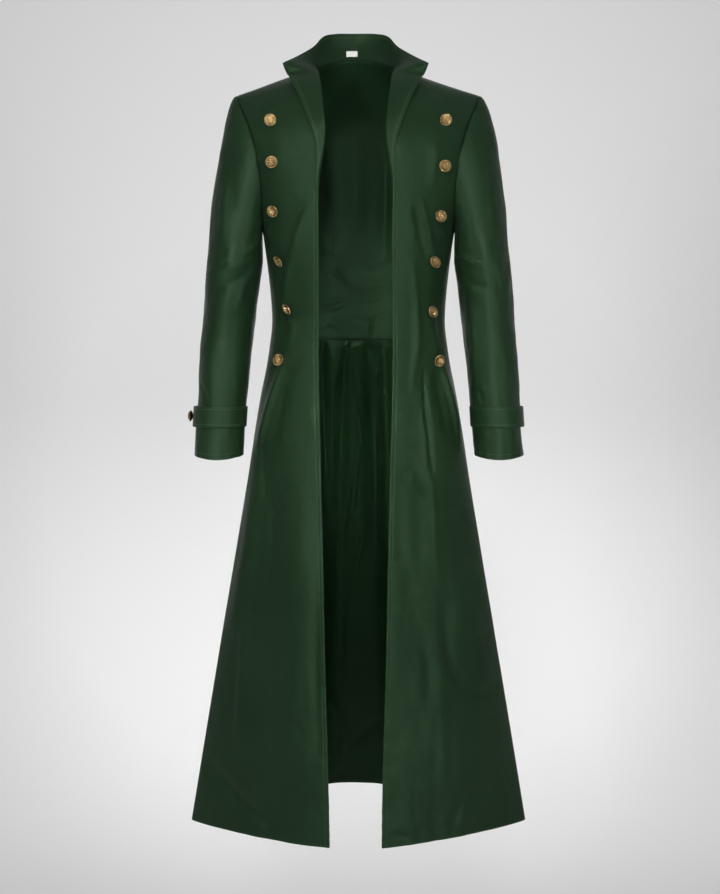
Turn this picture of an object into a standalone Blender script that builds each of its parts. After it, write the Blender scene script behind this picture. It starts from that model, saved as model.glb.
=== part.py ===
"""A long open coat, filled out as it is when worn: two fronts cut from shoulder to hem, a back bodice with a
pleated skirt sewn to it at the waist, two sleeves with cuff straps, a stand collar turned out into lapels,
domed shank buttons and a blank neck label.

Metres, +Z up. The front faces -Y and the wearer's left is +X. The origin is at the base of the neck, midway
between the two points where the shoulder seams meet the collar."""

import math
from collections import namedtuple

import bmesh
import bpy
import numpy as np
from mathutils import Matrix, Vector

# Cloth
CLOTH_THICK = 0.0015
STRAP_THICK = 0.0018
LABEL_THICK = 0.0010
SEAM_GAP = 0.0003
LAYER_GAP = 0.0006

# Lengths of the coat, as heights below the base of the neck
NECK_HALF_WIDTH = 0.072
SHOULDER_HALF_WIDTH = 0.2160
SHOULDER_DROP = 0.0500
BACK_NECK_RISE = 0.0245
UNDERARM = -0.285
WAIST_SEAM = -0.4850
HEM = -1.365
CUFF_END = -0.697
# The cuff's lower edge is this much higher at its sides than in front
CUFF_RISE = 0.006
# The collar and the front edges sit this far to the wearer's right of the middle
LEAN = -0.005

# How far below the shoulder seam the cloth has rolled over from level to upright
SHOULDER_ROLL = 0.16

# Grid steps of the panels
SHOULDER_STEPS = 9
NECK_STEPS = 5
ROLL_STEPS = 12
BREAK_STEPS = 2
BACK_ARMHOLE_STEPS = 10
BODICE_STEPS = 6
SKIRT_STEPS = 10
SLEEVE_CAP_STEPS = 8
SLEEVE_STEPS = 8

# The body of the coat in level sections. Above the underarm the half width is that of the rounded form
# that the chest and the shoulder blades follow, and the armholes cut it. Powers of 2 make an ellipse, and
# lower ones a leaf shape with a crisper side.
Section = namedtuple("Section", "height half_width front_depth back_depth width_power front_power back_power")
BODY = [
    Section(0.060, 0.262, 0.100, 0.102, 2.4, 2.0, 2.0),
    Section(-0.050, 0.245, 0.112, 0.108, 2.4, 2.0, 2.0),
    Section(-0.120, 0.222, 0.122, 0.114, 2.4, 2.0, 2.0),
    Section(-0.200, 0.198, 0.127, 0.117, 2.4, 2.0, 2.0),
    Section(-0.250, 0.1835, 0.128, 0.116, 2.3, 2.0, 2.0),
    Section(-0.285, 0.1735, 0.127, 0.114, 2.3, 2.0, 2.0),
    Section(-0.341, 0.1649, 0.123, 0.107, 2.2, 2.0, 2.0),
    Section(-0.414, 0.1570, 0.113, 0.094, 2.1, 2.0, 2.0),
    Section(-0.450, 0.1553, 0.109, 0.089, 2.0, 2.0, 2.0),
    Section(-0.500, 0.1603, 0.109, 0.092, 2.0, 1.9, 2.0),
    Section(-0.595, 0.1767, 0.116, 0.120, 1.9, 1.7, 1.9),
    Section(-0.867, 0.2230, 0.138, 0.178, 1.65, 1.35, 1.6),
    Section(HEM, 0.3067, 0.187, 0.262, 1.45, 1.10, 1.35),
]

# The shoulder seam and, inside the neck, the top of the back's form
Ridge = namedtuple("Ridge", "across height")
SHOULDER = [
    Ridge(0.000, 0.0650),
    Ridge(0.036, 0.0430),
    Ridge(0.060, 0.0150),
    Ridge(NECK_HALF_WIDTH, 0.0),
    Ridge(0.086, -0.0075),
    Ridge(0.121, -0.0195),
    Ridge(SHOULDER_HALF_WIDTH, -SHOULDER_DROP),
    Ridge(0.262, -0.0640),
]

# The armhole seams, from the shoulder point down to the underarm
Armhole = namedtuple("Armhole", "height front_across back_across")
ARMHOLE = [
    Armhole(-SHOULDER_DROP, SHOULDER_HALF_WIDTH, SHOULDER_HALF_WIDTH),
    Armhole(-0.0720, 0.2090, 0.2110),
    Armhole(-0.0990, 0.1965, 0.2040),
    Armhole(-0.1290, 0.1865, 0.1975),
    Armhole(-0.1640, 0.1780, 0.1920),
    Armhole(-0.2100, 0.1720, 0.1850),
    Armhole(-0.2500, 0.1700, 0.1765),
    Armhole(-0.2700, 0.1710, 0.1745),
    Armhole(UNDERARM, 0.1735, 0.1735),
]

# The front edge: the roll line of the lapel down to the break, then the straight edge to the hem
BREAK_HEIGHT = -0.2240
FrontEdge = namedtuple("FrontEdge", "height across")
FRONT_EDGE = [
    FrontEdge(0.0, NECK_HALF_WIDTH),
    FrontEdge(-0.0200, 0.0660),
    FrontEdge(-0.0410, 0.0627),
    FrontEdge(-0.0900, 0.0569),
    FrontEdge(-0.1225, 0.0535),
    FrontEdge(-0.1500, 0.0549),
    FrontEdge(-0.1770, 0.0592),
    FrontEdge(-0.2050, 0.0636),
    FrontEdge(BREAK_HEIGHT, 0.0653),
    FrontEdge(-0.3310, 0.0650),
    FrontEdge(-0.5040, 0.0656),
    FrontEdge(-0.7700, 0.0602),
    FrontEdge(-1.0280, 0.0543),
    FrontEdge(-1.2200, 0.0492),
    FrontEdge(HEM, 0.0464),
]

# The free edge of the collar, from the back of the neck to the tip of the turned-out wing
Rim = namedtuple("Rim", "share across back height")
COLLAR_RIM = [
    Rim(0.00, 0.0000, 0.0800, 0.0745),
    Rim(0.35, 0.0380, 0.0700, 0.0720),
    Rim(0.60, 0.0600, 0.0520, 0.0635),
    Rim(0.80, 0.0790, 0.0240, 0.0390),
    Rim(0.90, 0.1040, -0.0130, 0.0175),
    Rim(1.00, 0.1280, -0.0500, -0.0005),
]
# The free edge of the lapel, from the tip down to the break. Lift is how far it stands off the front
LapelEdge = namedtuple("LapelEdge", "share across height lift")
LAPEL_EDGE = [
    LapelEdge(0.00, 0.1280, -0.0005, 0.050),
    LapelEdge(0.12, 0.1155, -0.0260, 0.028),
    LapelEdge(0.20, 0.1060, -0.0440, 0.016),
    LapelEdge(0.30, 0.0957, -0.0661, 0.008),
    LapelEdge(0.50, 0.0820, -0.1038, 0.005),
    LapelEdge(0.66, 0.0710, -0.1362, 0.005),
    LapelEdge(0.80, 0.0670, -0.1657, 0.005),
    LapelEdge(1.00, 0.0675, -0.2215, 0.004),
]
COLLAR_ROWS = 8
TIP_STEP = 2
# How far along its free edge the collar passes the shoulder seam
SIDE_SHARE = 0.80
# How far the standing collar bows out at half its height, and how far the wing stays off the front
COLLAR_BOW = 0.004
WING_CLEAR = 0.0026
WING_BOW = 0.0012
# The way that the lapel's roll faces: across for each metre from the middle, forward and up
ROLL_FACING = (0.4, -1.0, 0.35)

# Each sleeve: its outer and inner sides, the half depth from front to back and how far forward the arm hangs
Arm = namedtuple("Arm", "height outer inner half_depth forward")
ARM = [
    Arm(-0.3000, 0.2675, 0.1710, 0.068, 0.004),
    Arm(-0.3450, 0.2720, 0.1738, 0.066, 0.006),
    Arm(-0.3780, 0.2748, 0.1780, 0.064, 0.008),
    Arm(-0.4500, 0.2800, 0.1865, 0.060, 0.012),
    Arm(-0.5220, 0.2845, 0.1938, 0.057, 0.018),
    Arm(-0.5940, 0.2880, 0.2005, 0.054, 0.024),
    Arm(CUFF_END, 0.2940, 0.2068, 0.052, 0.032),
]
SLEEVE_LEVEL = -0.345

# Pleats of the back skirt: narrow and deep at the waist seam, broad and shallow at the hem
Pleat = namedtuple("Pleat", "height depth half_width")
PLEATS = [
    Pleat(WAIST_SEAM, 0.0015, 0.14),
    Pleat(-0.505, 0.0050, 0.16),
    Pleat(-0.560, 0.0120, 0.20),
    Pleat(-0.700, 0.0150, 0.27),
    Pleat(-1.000, 0.0110, 0.33),
    Pleat(HEM, 0.0080, 0.36),
]
PLEAT_COUNT = 8
PLEAT_SHIFT = 0.49
PLEATED_SHARE = 0.80
STEPS_PER_PLEAT = 5

# Straps sewn into the sleeve's inner seam and buttoned on the outer side of the cuff
STRAP_TOP = -0.605
STRAP_BOTTOM = -0.640
Strap = namedtuple("Strap", "side button_turn end_turn")
STRAPS = [
    Strap("right", -2.0, -22.0),
    Strap("left", -38.0, -58.0),
]
STRAP_START_TURN = 176.0
# The strap lies close to the sleeve up to this turn, and past it stands off by up to the standoff
STRAP_CLOSE_TURN = 150.0
STRAP_STANDOFF = 0.0042
STRAP_STEPS = 16

# Button places, as the photo shows them, on the wearer's right and left fronts
ButtonRow = namedtuple("ButtonRow", "right_across right_height left_across left_height")
BUTTONS = [
    ButtonRow(0.1521, -0.1063, 0.1505, -0.1064),
    ButtonRow(0.1483, -0.1765, 0.1468, -0.1851),
    ButtonRow(0.1476, -0.2614, 0.1406, -0.2705),
    ButtonRow(0.1359, -0.3463, 0.1306, -0.3518),
    ButtonRow(0.1222, -0.4302, 0.1279, -0.4371),
    ButtonRow(0.1390, -0.5181, 0.1410, -0.5181),
]
BUTTON_RADIUS = 0.0102
BUTTON_DOME = 0.0045
BUTTON_RIM = 0.0011
SHANK_RADIUS = 0.0022
SHANK_LENGTH = 0.0028
DOME_TURNS = (25, 50, 70)
BUTTON_BACK = 0.94
BUTTON_SEGMENTS = 12
# How finely a panel is split to find a button's seat on it
SEAT_SPLIT = 12
SEAT_REACH = 3

LABEL_ACROSS = -0.0120
LABEL_HALF_WIDTH = 0.0110
# Shares of the collar's height, from its seam
LABEL_BOTTOM = 0.24
LABEL_TOP = 0.46
LABEL_SPLIT = 4


def smooth(table, key, column, at):
    """The column's value at a place on the key column, on a smooth curve through the rows."""
    rows = sorted(table, key=lambda row: getattr(row, key))
    x = np.array([getattr(row, key) for row in rows], float)
    y = np.array([getattr(row, column) for row in rows], float)
    slope = np.diff(y) / np.diff(x)
    tangent = np.concatenate([slope[:1], (slope[:-1] + slope[1:]) / 2, slope[-1:]])
    flat = np.concatenate([[False], slope[:-1] * slope[1:] <= 0, [False]])
    tangent[flat] = 0.0
    at = np.clip(at, x[0], x[-1])
    i = np.clip(np.searchsorted(x, at, side="right") - 1, 0, len(slope) - 1)
    step = x[i + 1] - x[i]
    t = (at - x[i]) / step
    return (
        y[i] * (1 + 2 * t) * (1 - t) ** 2
        + tangent[i] * step * t * (1 - t) ** 2
        + y[i + 1] * t**2 * (3 - 2 * t)
        - tangent[i + 1] * step * t**2 * (1 - t)
    )


def ease(t):
    """Runs smoothly from 0 at t = 0 to 1 at t = 1."""
    t = np.clip(t, 0.0, 1.0)
    return t * t * (3 - 2 * t)


def body_y(x, z, side):
    """How far forward or back the coat's outer face lies at a place across and a height."""
    half = smooth(BODY, "height", "half_width", z)
    deep = smooth(BODY, "height", side + "_depth", z)
    share = np.clip(np.abs(x) / half, 0.0, 1.0)
    across = 1 - share ** smooth(BODY, "height", "width_power", z)
    power = smooth(BODY, "height", side + "_power", z)
    drop = np.clip((smooth(SHOULDER, "across", "height", np.abs(x)) - z) / SHOULDER_ROLL, 0.0, 1.0)
    roll = np.sqrt(1 - (1 - drop) ** 2)
    return (-1 if side == "front" else 1) * deep * across ** (1 / power) * roll


def resampled(points, count):
    """The line's points, moved to even steps along it."""
    points = np.asarray(points, float)
    run = np.concatenate([[0], np.cumsum(np.linalg.norm(np.diff(points, axis=0), axis=1))])
    at = np.linspace(0, run[-1], count + 1)
    return np.stack([np.interp(at, run, points[:, k]) for k in range(3)], axis=1)


def section_line(z, side, start):
    """A level line on the coat at height z, from start across to the side seam, in even steps."""
    half = smooth(BODY, "height", "half_width", z)
    x = start + (half - start) * np.sin(np.linspace(0, math.pi / 2, 160))
    return np.stack([x, body_y(x, z, side), np.full_like(x, z)], axis=1)


def armhole_line(side, count):
    """The armhole seam from the shoulder point to the underarm."""
    z = np.linspace(-SHOULDER_DROP, UNDERARM, 200)
    z = np.sort(np.concatenate([z, np.linspace(UNDERARM, UNDERARM + 0.02, 60)]))[::-1]
    x = smooth(ARMHOLE, "height", side + "_across", z)
    return resampled(np.stack([x, body_y(x, z, side), z], axis=1), count)


def front_edge_line():
    """The roll line from the neck to the break, and the stretch from there to the underarm's height."""
    z = np.linspace(0, BREAK_HEIGHT, 200)
    x = smooth(FRONT_EDGE, "height", "across", z)
    roll = resampled(np.stack([x, body_y(x, z, "front"), z], axis=1), ROLL_STEPS)
    low = np.linspace(BREAK_HEIGHT, UNDERARM, BREAK_STEPS + 1)[1:]
    x = smooth(FRONT_EDGE, "height", "across", low)
    return np.concatenate([roll, np.stack([x, body_y(x, low, "front"), low], axis=1)])


def back_neck_line():
    """The back neck seam from the centre to the shoulder seam."""
    turn = np.linspace(0, math.pi / 2, 200)
    x = NECK_HALF_WIDTH * np.sin(turn)
    z = BACK_NECK_RISE * (1 - (x / NECK_HALF_WIDTH) ** 2)
    return resampled(np.stack([x, body_y(x, z, "back"), z], axis=1), NECK_STEPS)


def shoulder_line():
    x = np.linspace(NECK_HALF_WIDTH, SHOULDER_HALF_WIDTH, SHOULDER_STEPS + 1)
    return np.stack([x, np.zeros_like(x), smooth(SHOULDER, "across", "height", x)], axis=1)


BODICE_LEVELS = np.linspace(UNDERARM, WAIST_SEAM, BODICE_STEPS + 1)
SKIRT_LEVELS = np.linspace(WAIST_SEAM, HEM, SKIRT_STEPS + 1)


def front_grid():
    """The left front's outer face: rows from shoulder seam to hem, columns from front edge to side."""
    edge = front_edge_line()
    side = armhole_line("front", ROLL_STEPS + BREAK_STEPS)
    top = shoulder_line()
    share = (top[:, 0] - top[0, 0]) / (top[-1, 0] - top[0, 0])
    rows = []
    for low, (inner, outer) in enumerate(zip(edge, side)):
        down = low / (len(edge) - 1)
        line = np.linspace(inner, outer, 160)
        line[:, 1] = body_y(line[:, 0], line[:, 2], "front")
        even = resampled(line, SHOULDER_STEPS)
        straight = inner + (outer - inner) * share[:, None]
        row = straight + (even - straight) * ease(2 * down)
        row[:, 1] = body_y(row[:, 0], row[:, 2], "front")
        row[0], row[-1] = inner, outer
        rows.append(row)
    rows[0] = top
    for z in np.concatenate([BODICE_LEVELS[1:], SKIRT_LEVELS[1:]]):
        start = smooth(FRONT_EDGE, "height", "across", z)
        rows.append(resampled(section_line(z, "front", start), SHOULDER_STEPS))
    return np.array(rows)


def back_half_grid():
    """Half of the back bodice's outer face: rows from the top to the waist, columns from centre to side."""
    neck = back_neck_line()
    top = np.concatenate([neck, shoulder_line()[1:]])
    side = armhole_line("back", BACK_ARMHOLE_STEPS)
    low = resampled(section_line(UNDERARM, "back", 0.0), len(top) - 1)
    columns = np.linspace(0, 1, len(top))
    rows = []
    for step, outer in enumerate(side):
        down = step / BACK_ARMHOLE_STEPS
        ratio = top[:, 0] / top[-1, 0] * (1 - down) + low[:, 0] / low[-1, 0] * down
        side_down = (outer[2] - top[-1, 2]) / (UNDERARM - top[-1, 2])
        fall = down + (side_down - down) * columns**2
        x = outer[0] * ratio
        z = top[:, 2] + (UNDERARM - top[:, 2]) * fall
        row = np.stack([x, body_y(x, z, "back"), z], axis=1)
        row[-1] = outer
        rows.append(row)
    rows[0] = top
    for z in BODICE_LEVELS[1:]:
        rows.append(resampled(section_line(z, "back", 0.0), len(top) - 1))
    return np.array(rows)


def mirrored(grid):
    """The grid on the other side of the coat, its columns turned round to keep the outer face out."""
    return (grid * [-1, 1, 1])[:, ::-1]


def back_grid():
    half = back_half_grid()
    return np.concatenate([half[:, ::-1], mirrored(half)[:, ::-1][:, 1:]], axis=1)


def pleat_out(along, z):
    """How far the back skirt stands out at a place along the back, from -1 at one side seam to 1."""
    count = PLEAT_COUNT / 2 / PLEATED_SHARE
    phase = along * count + PLEAT_SHIFT
    off = phase - np.round(phase)
    wide = smooth(PLEATS, "height", "half_width", z)
    fade = ease((1 - np.abs(along)) / (1 - PLEATED_SHARE))
    return smooth(PLEATS, "height", "depth", z) * np.exp(-((off / wide) ** 2)) * fade


def back_skirt_grid():
    """The pleated back skirt's outer face, from the left side seam round the back to the right one."""
    pleats = PLEAT_COUNT / PLEATED_SHARE
    columns = round(pleats * STEPS_PER_PLEAT)
    rows = []
    for z in SKIRT_LEVELS:
        half = resampled(section_line(z, "back", 0.0), 400)
        line = np.concatenate([half[::-1], (half * [-1, 1, 1])[1:]])
        run = np.concatenate([[0], np.cumsum(np.linalg.norm(np.diff(line, axis=0), axis=1))])
        along = 1 - 2 * run / run[-1]
        tangent = np.gradient(line, axis=0)
        out = np.stack([tangent[:, 1], -tangent[:, 0], np.zeros(len(line))], axis=1)
        out /= np.linalg.norm(out, axis=1)[:, None]
        line = line + out * pleat_out(along, z)[:, None]
        at = np.linspace(1, -1, columns + 1)
        row = np.stack([np.interp(-at, -along, line[:, k]) for k in range(3)], axis=1)
        rows.append(row)
    return np.array(rows)


def tube_point(turn, z):
    """The sleeve's outer face as a tube: turn is 0 on the outer side, 90 degrees in front, 180 inside."""
    outer = smooth(ARM, "height", "outer", z)
    inner = smooth(ARM, "height", "inner", z)
    deep = smooth(ARM, "height", "half_depth", z)
    forward = smooth(ARM, "height", "forward", z)
    x = (outer + inner) / 2 + (outer - inner) / 2 * np.cos(turn)
    y = -forward - deep * np.sin(turn)
    return np.stack([x, y, z * np.ones_like(x)], axis=-1)


def sleeve_grid():
    """The left sleeve's outer face: rings from the armhole to the cuff. From the armhole the cloth runs
    outwards and falls ever faster, until it hangs."""
    front = armhole_line("front", ROLL_STEPS + BREAK_STEPS)
    back = armhole_line("back", BACK_ARMHOLE_STEPS)
    seam = np.concatenate([front, back[::-1][1:-1]])
    turns = np.concatenate([
        np.linspace(0, math.pi, len(front)),
        np.linspace(math.pi, 2 * math.pi, len(back))[1:-1],
    ])
    hanging = tube_point(turns, np.full_like(turns, SLEEVE_LEVEL))
    power = 1.5 + 0.5 * np.cos(turns)
    rings = []
    for step in range(SLEEVE_CAP_STEPS + 1):
        share = step / SLEEVE_CAP_STEPS
        way = np.stack([np.full_like(turns, share), np.full_like(turns, share), share**power], axis=1)
        rings.append(seam + (hanging - seam) * way)
    for z in np.linspace(SLEEVE_LEVEL, CUFF_END, SLEEVE_STEPS + 1)[1:]:
        ring = tube_point(turns, np.full_like(turns, z))
        ring[:, 2] += CUFF_RISE * ease((STRAP_TOP - z) / (STRAP_TOP - CUFF_END)) * np.cos(turns) ** 2
        rings.append(ring)
    return np.array(rings)[:, ::-1]


def settled(grid):
    """The grid moved to the wearer's right near the middle of the coat, and not at its sides."""
    grid = grid.copy()
    out = np.abs(grid[..., 0]) / smooth(BODY, "height", "half_width", grid[..., 2])
    grid[..., 0] += LEAN * (1 - ease(2 * out - 1))
    return grid


def collar_stations():
    """For each column of half the collar, from the back's centre to the break: where it is sewn, its free
    edge, the way its cloth first leaves the seam, the coat's outward direction there and how far it folds."""
    neck = back_neck_line()
    roll = front_edge_line()[: ROLL_STEPS + 1]
    base = np.concatenate([neck, roll[1:]])
    side_step = NECK_STEPS
    tip = NECK_STEPS + TIP_STEP
    stations = []
    for step, point in enumerate(base):
        if step <= tip:
            share = np.interp(step, (0, side_step, tip), (0, SIDE_SHARE, 1))
            names = ("across", "back", "height")
            edge = np.array([smooth(COLLAR_RIM, "share", name, share) for name in names])
        else:
            share = (step - tip) / (len(base) - 1 - tip)
            across, height, lift = (
                smooth(LAPEL_EDGE, "share", name, share) for name in ("across", "height", "lift")
            )
            edge = np.array([across, body_y(across, height, "front") - lift, height])
        fold = ease((step - side_step) / (TIP_STEP + 1))
        stations.append((point, edge, fold))
    return stations


# The folded roll in section, from the seam: towards the opening, and out from the front
FoldPoint = namedtuple("FoldPoint", "towards out")
FOLD = [
    FoldPoint(0.0000, 0.0000),
    FoldPoint(0.0012, 0.0004),
    FoldPoint(0.0014, 0.0018),
    FoldPoint(0.0002, 0.0026),
]


def collar_half_grid():
    """Half of the collar and its lapel, as the coat's outer face: it is hidden where the wing turns out."""
    columns = []
    for point, edge, fold in collar_stations():
        outward = np.array([point[0] * ROLL_FACING[0], *ROLL_FACING[1:]])
        outward /= np.linalg.norm(outward)
        towards = np.array([-1.0, 0.0, 0.0])
        column = []
        for row in range(COLLAR_ROWS + 1):
            t = row / COLLAR_ROWS
            upright = point + (edge - point) * t
            upright[1] += COLLAR_BOW * math.sin(math.pi * t) * (1 - fold)
            if row < len(FOLD):
                turned = point + towards * FOLD[row].towards + outward * FOLD[row].out
            else:
                start = point + towards * FOLD[-1].towards + outward * FOLD[-1].out
                s = (row - len(FOLD) + 1) / (COLLAR_ROWS - len(FOLD) + 1)
                turned = start + (edge - start) * s
                clear = WING_CLEAR + WING_BOW * math.sin(math.pi * s)
                turned[1] = min(turned[1], body_y(turned[0], turned[2], "front") - clear)
            column.append(upright + (turned - upright) * fold)
        columns.append(column)
    return np.array(columns).transpose(1, 0, 2)


def collar_grid():
    half = collar_half_grid()
    return np.concatenate([mirrored(half), half[:, 1:]], axis=1)


class Panel:
    """A piece of cloth as a grid of points on its outer face, its edges that are sewn or lie level, and the
    direction out of the cloth at each point."""

    def __init__(self, name, grid, material, thick=CLOTH_THICK, wrap=False, sewn="", level=""):
        self.name = name
        self.grid = np.array(grid, float)
        self.material = material
        self.thick = thick
        self.wrap = wrap
        self.sewn = sewn.split()
        self.level = level.split()
        self.out = self.directions()
        self.shift = np.zeros_like(self.grid)

    def directions(self):
        down = np.gradient(self.grid, axis=0)
        if self.wrap:
            across = (np.roll(self.grid, -1, axis=1) - np.roll(self.grid, 1, axis=1)) / 2
        else:
            across = np.gradient(self.grid, axis=1)
        out = np.cross(down, across)
        return out / np.maximum(np.linalg.norm(out, axis=2), 1e-12)[:, :, None]

    def seams(self):
        """For each grid place on a sewn edge, the way from it into the panel, in the cloth and square to the
        seam. Where the edge turns a corner, it is the sum of both sides' ways."""
        rows, columns = self.grid.shape[:2]
        edges = {
            "top": ([(0, c) for c in range(columns)], 1),
            "bottom": ([(rows - 1, c) for c in range(columns)], -1),
            "start": ([(r, 0) for r in range(rows)], -1),
            "end": ([(r, columns - 1) for r in range(rows)], 1),
        }
        ways = {}
        for edge in self.sewn:
            places, turn = edges[edge]
            following = places[1:] + places[:1] if self.wrap else places[1:]
            for here, there in zip(places, following):
                along = self.grid[there] - self.grid[here]
                for place in (here, there):
                    way = np.cross(along, self.out[place]) * turn
                    ways[place] = ways.get(place, 0) + way / np.linalg.norm(way)
        return {place: way / np.linalg.norm(way) for place, way in ways.items()}


def sew(panels):
    """Points that panels share along a seam get one direction through the wall, so that both walls end on
    the same mitre, and each panel is drawn back from that mitre by half a seam gap."""
    met = {}
    for panel in panels:
        for place, way in panel.seams().items():
            key = tuple(np.round(panel.grid[place], 5))
            met.setdefault(key, []).append((panel, place, way, panel.out[place]))
    for meeting in met.values():
        into = sum(way for _, _, way, _ in meeting)
        mean = sum(face for _, _, _, face in meeting) / len(meeting)
        facing = sum(np.dot(face, into - way) for _, _, way, face in meeting)
        out = mean + into / len(meeting) * np.sign(facing) if len(meeting) > 1 else mean
        out /= np.linalg.norm(out)
        for panel, place, way, face in meeting:
            aside = way + mean - face
            aside -= out * np.dot(aside, out)
            panel.out[place] = out
            panel.shift[place] = aside / np.linalg.norm(aside) * SEAM_GAP / 2


def add_wall(panel):
    """The panel as one closed wall: the outer face, the inner face and the rim between them."""
    outer = panel.grid + panel.shift
    out = panel.out.copy()
    for edge, row in (("top", 0), ("bottom", -1)):
        if edge in panel.level:
            out[row, :, 2] = 0
            out[row] /= np.linalg.norm(out[row], axis=1)[:, None]
    inner = outer - out * panel.thick
    rows, columns = outer.shape[:2]
    work = bmesh.new()
    face = [[[work.verts.new(p) for p in line] for line in side] for side in (outer, inner)]
    around = columns if panel.wrap else columns - 1
    for r in range(rows - 1):
        for c in range(around):
            n = (c + 1) % columns
            for side in (0, 1):
                f = face[side]
                work.faces.new([f[r][c], f[r + 1][c], f[r + 1][n], f[r][n]])
    for r in (0, rows - 1):
        for c in range(around):
            n = (c + 1) % columns
            work.faces.new([face[0][r][c], face[0][r][n], face[1][r][n], face[1][r][c]])
    if not panel.wrap:
        for c in (0, columns - 1):
            for r in range(rows - 1):
                work.faces.new([face[0][r][c], face[0][r + 1][c], face[1][r + 1][c], face[1][r][c]])
    return add_object(panel.name, work, panel.material)


def add_object(name, work, material, smooth_angle=40):
    """A new object from a bmesh, its faces turned out, shaded smooth up to an angle."""
    bmesh.ops.recalc_face_normals(work, faces=work.faces)
    mesh = bpy.data.meshes.new(name)
    work.to_mesh(mesh)
    work.free()
    mesh.materials.append(material)
    mesh.shade_smooth()
    mesh.set_sharp_from_angle(angle=math.radians(smooth_angle))
    item = bpy.data.objects.new(name, mesh)
    bpy.context.scene.collection.objects.link(item)
    return item


def make_material(name, colour, roughness, metallic=0.0):
    material = bpy.data.materials.new(name)
    material.use_nodes = True
    shader = material.node_tree.nodes["Principled BSDF"]
    shader.inputs["Base Color"].default_value = (*colour, 1.0)
    shader.inputs["Roughness"].default_value = roughness
    shader.inputs["Metallic"].default_value = metallic
    return material


def strap_panel(strap, material):
    """A strap round the front of the cuff, from the inner seam to past its button on the outer side."""
    turns = np.radians(np.linspace(STRAP_START_TURN, strap.end_turn, STRAP_STEPS + 1))
    standoff = LAYER_GAP + STRAP_STANDOFF * ease(1 - np.degrees(turns) / STRAP_CLOSE_TURN)
    rows = []
    for z in (STRAP_TOP, (STRAP_TOP + STRAP_BOTTOM) / 2, STRAP_BOTTOM):
        ring = tube_point(turns, np.full_like(turns, z))
        centre = (tube_point(0.0, z) + tube_point(math.pi, z)) / 2
        away = ring - centre
        away[:, 2] = 0
        away /= np.linalg.norm(away, axis=1)[:, None]
        rows.append(ring + away * (standoff + STRAP_THICK)[:, None])
    grid = np.array(rows)
    if strap.side == "right":
        grid = mirrored(grid)
    return Panel(f"cuff_strap_{strap.side}", grid, material, STRAP_THICK, level="top bottom")


def add_button(name, seat, out, material):
    """A domed button on a shank: turned about its axis, and stood on the cloth at its seat."""
    profile = [(0.0, SHANK_LENGTH + BUTTON_RIM + BUTTON_DOME)]
    for turn in DOME_TURNS:
        angle = math.radians(turn)
        profile.append((
            BUTTON_RADIUS * math.sin(angle),
            SHANK_LENGTH + BUTTON_RIM + BUTTON_DOME * math.cos(angle),
        ))
    profile += [
        (BUTTON_RADIUS, SHANK_LENGTH + BUTTON_RIM),
        (BUTTON_RADIUS * BUTTON_BACK, SHANK_LENGTH),
        (SHANK_RADIUS, SHANK_LENGTH),
        (SHANK_RADIUS, 0.0),
        (0.0, 0.0),
    ]
    work = bmesh.new()
    points = [work.verts.new((r, 0, z)) for r, z in profile]
    edges = [work.edges.new(pair) for pair in zip(points, points[1:])]
    bmesh.ops.spin(
        work, geom=points + edges, cent=(0, 0, 0), axis=(0, 0, 1), angle=2 * math.pi,
        steps=BUTTON_SEGMENTS, use_merge=True,
    )
    bmesh.ops.remove_doubles(work, verts=work.verts, dist=1e-6)
    button = add_object(name, work, material)
    out = Vector(out).normalized()
    turn = out.to_track_quat("Z", "Y").to_matrix().to_4x4()
    button.matrix_world = Matrix.Translation(Vector(seat) + out * LAYER_GAP) @ turn
    return button


def finer(grid, times):
    """The grid with each of its steps split evenly, down and then across."""
    for _ in range(2):
        share = np.arange(times)[None, :, None, None] / times
        parts = grid[:-1, None] * (1 - share) + grid[1:, None] * share
        grid = parts.reshape(-1, *grid.shape[1:]).transpose(1, 0, 2)
    return grid


def seat_on(panel, across, height):
    """The place on the panel's outer face at a distance across and a height, and the direction out there."""
    fine = finer(panel.grid, SEAT_SPLIT)
    off = np.hypot(fine[:, :, 0] - across, fine[:, :, 2] - height)
    r, c = np.unravel_index(np.argmin(off), off.shape)
    down = fine[r + SEAT_REACH, c] - fine[r - SEAT_REACH, c]
    out = np.cross(down, fine[r, c + SEAT_REACH] - fine[r, c - SEAT_REACH])
    return fine[r, c], out / np.linalg.norm(out)


def label_panel(collar, material):
    """A small blank label on the collar's inner face near the centre back, made from the collar's points."""
    inner = finer(collar.grid - collar.out * (CLOTH_THICK + LAYER_GAP + LABEL_THICK), LABEL_SPLIT)
    rows = []
    for share in (LABEL_TOP, LABEL_BOTTOM):
        line = inner[round(share * (len(inner) - 1))]
        near = line[np.abs(line[:, 0] - LABEL_ACROSS) < 3 * LABEL_HALF_WIDTH]
        near = near[np.argsort(near[:, 0])]
        x = LABEL_ACROSS + LABEL_HALF_WIDTH * np.linspace(-1, 1, LABEL_SPLIT + 1)
        rows.append(np.stack([np.interp(x, near[:, 0], near[:, k]) for k in range(3)], axis=1))
    return Panel("neck_label", np.array(rows), material, LABEL_THICK)


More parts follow.
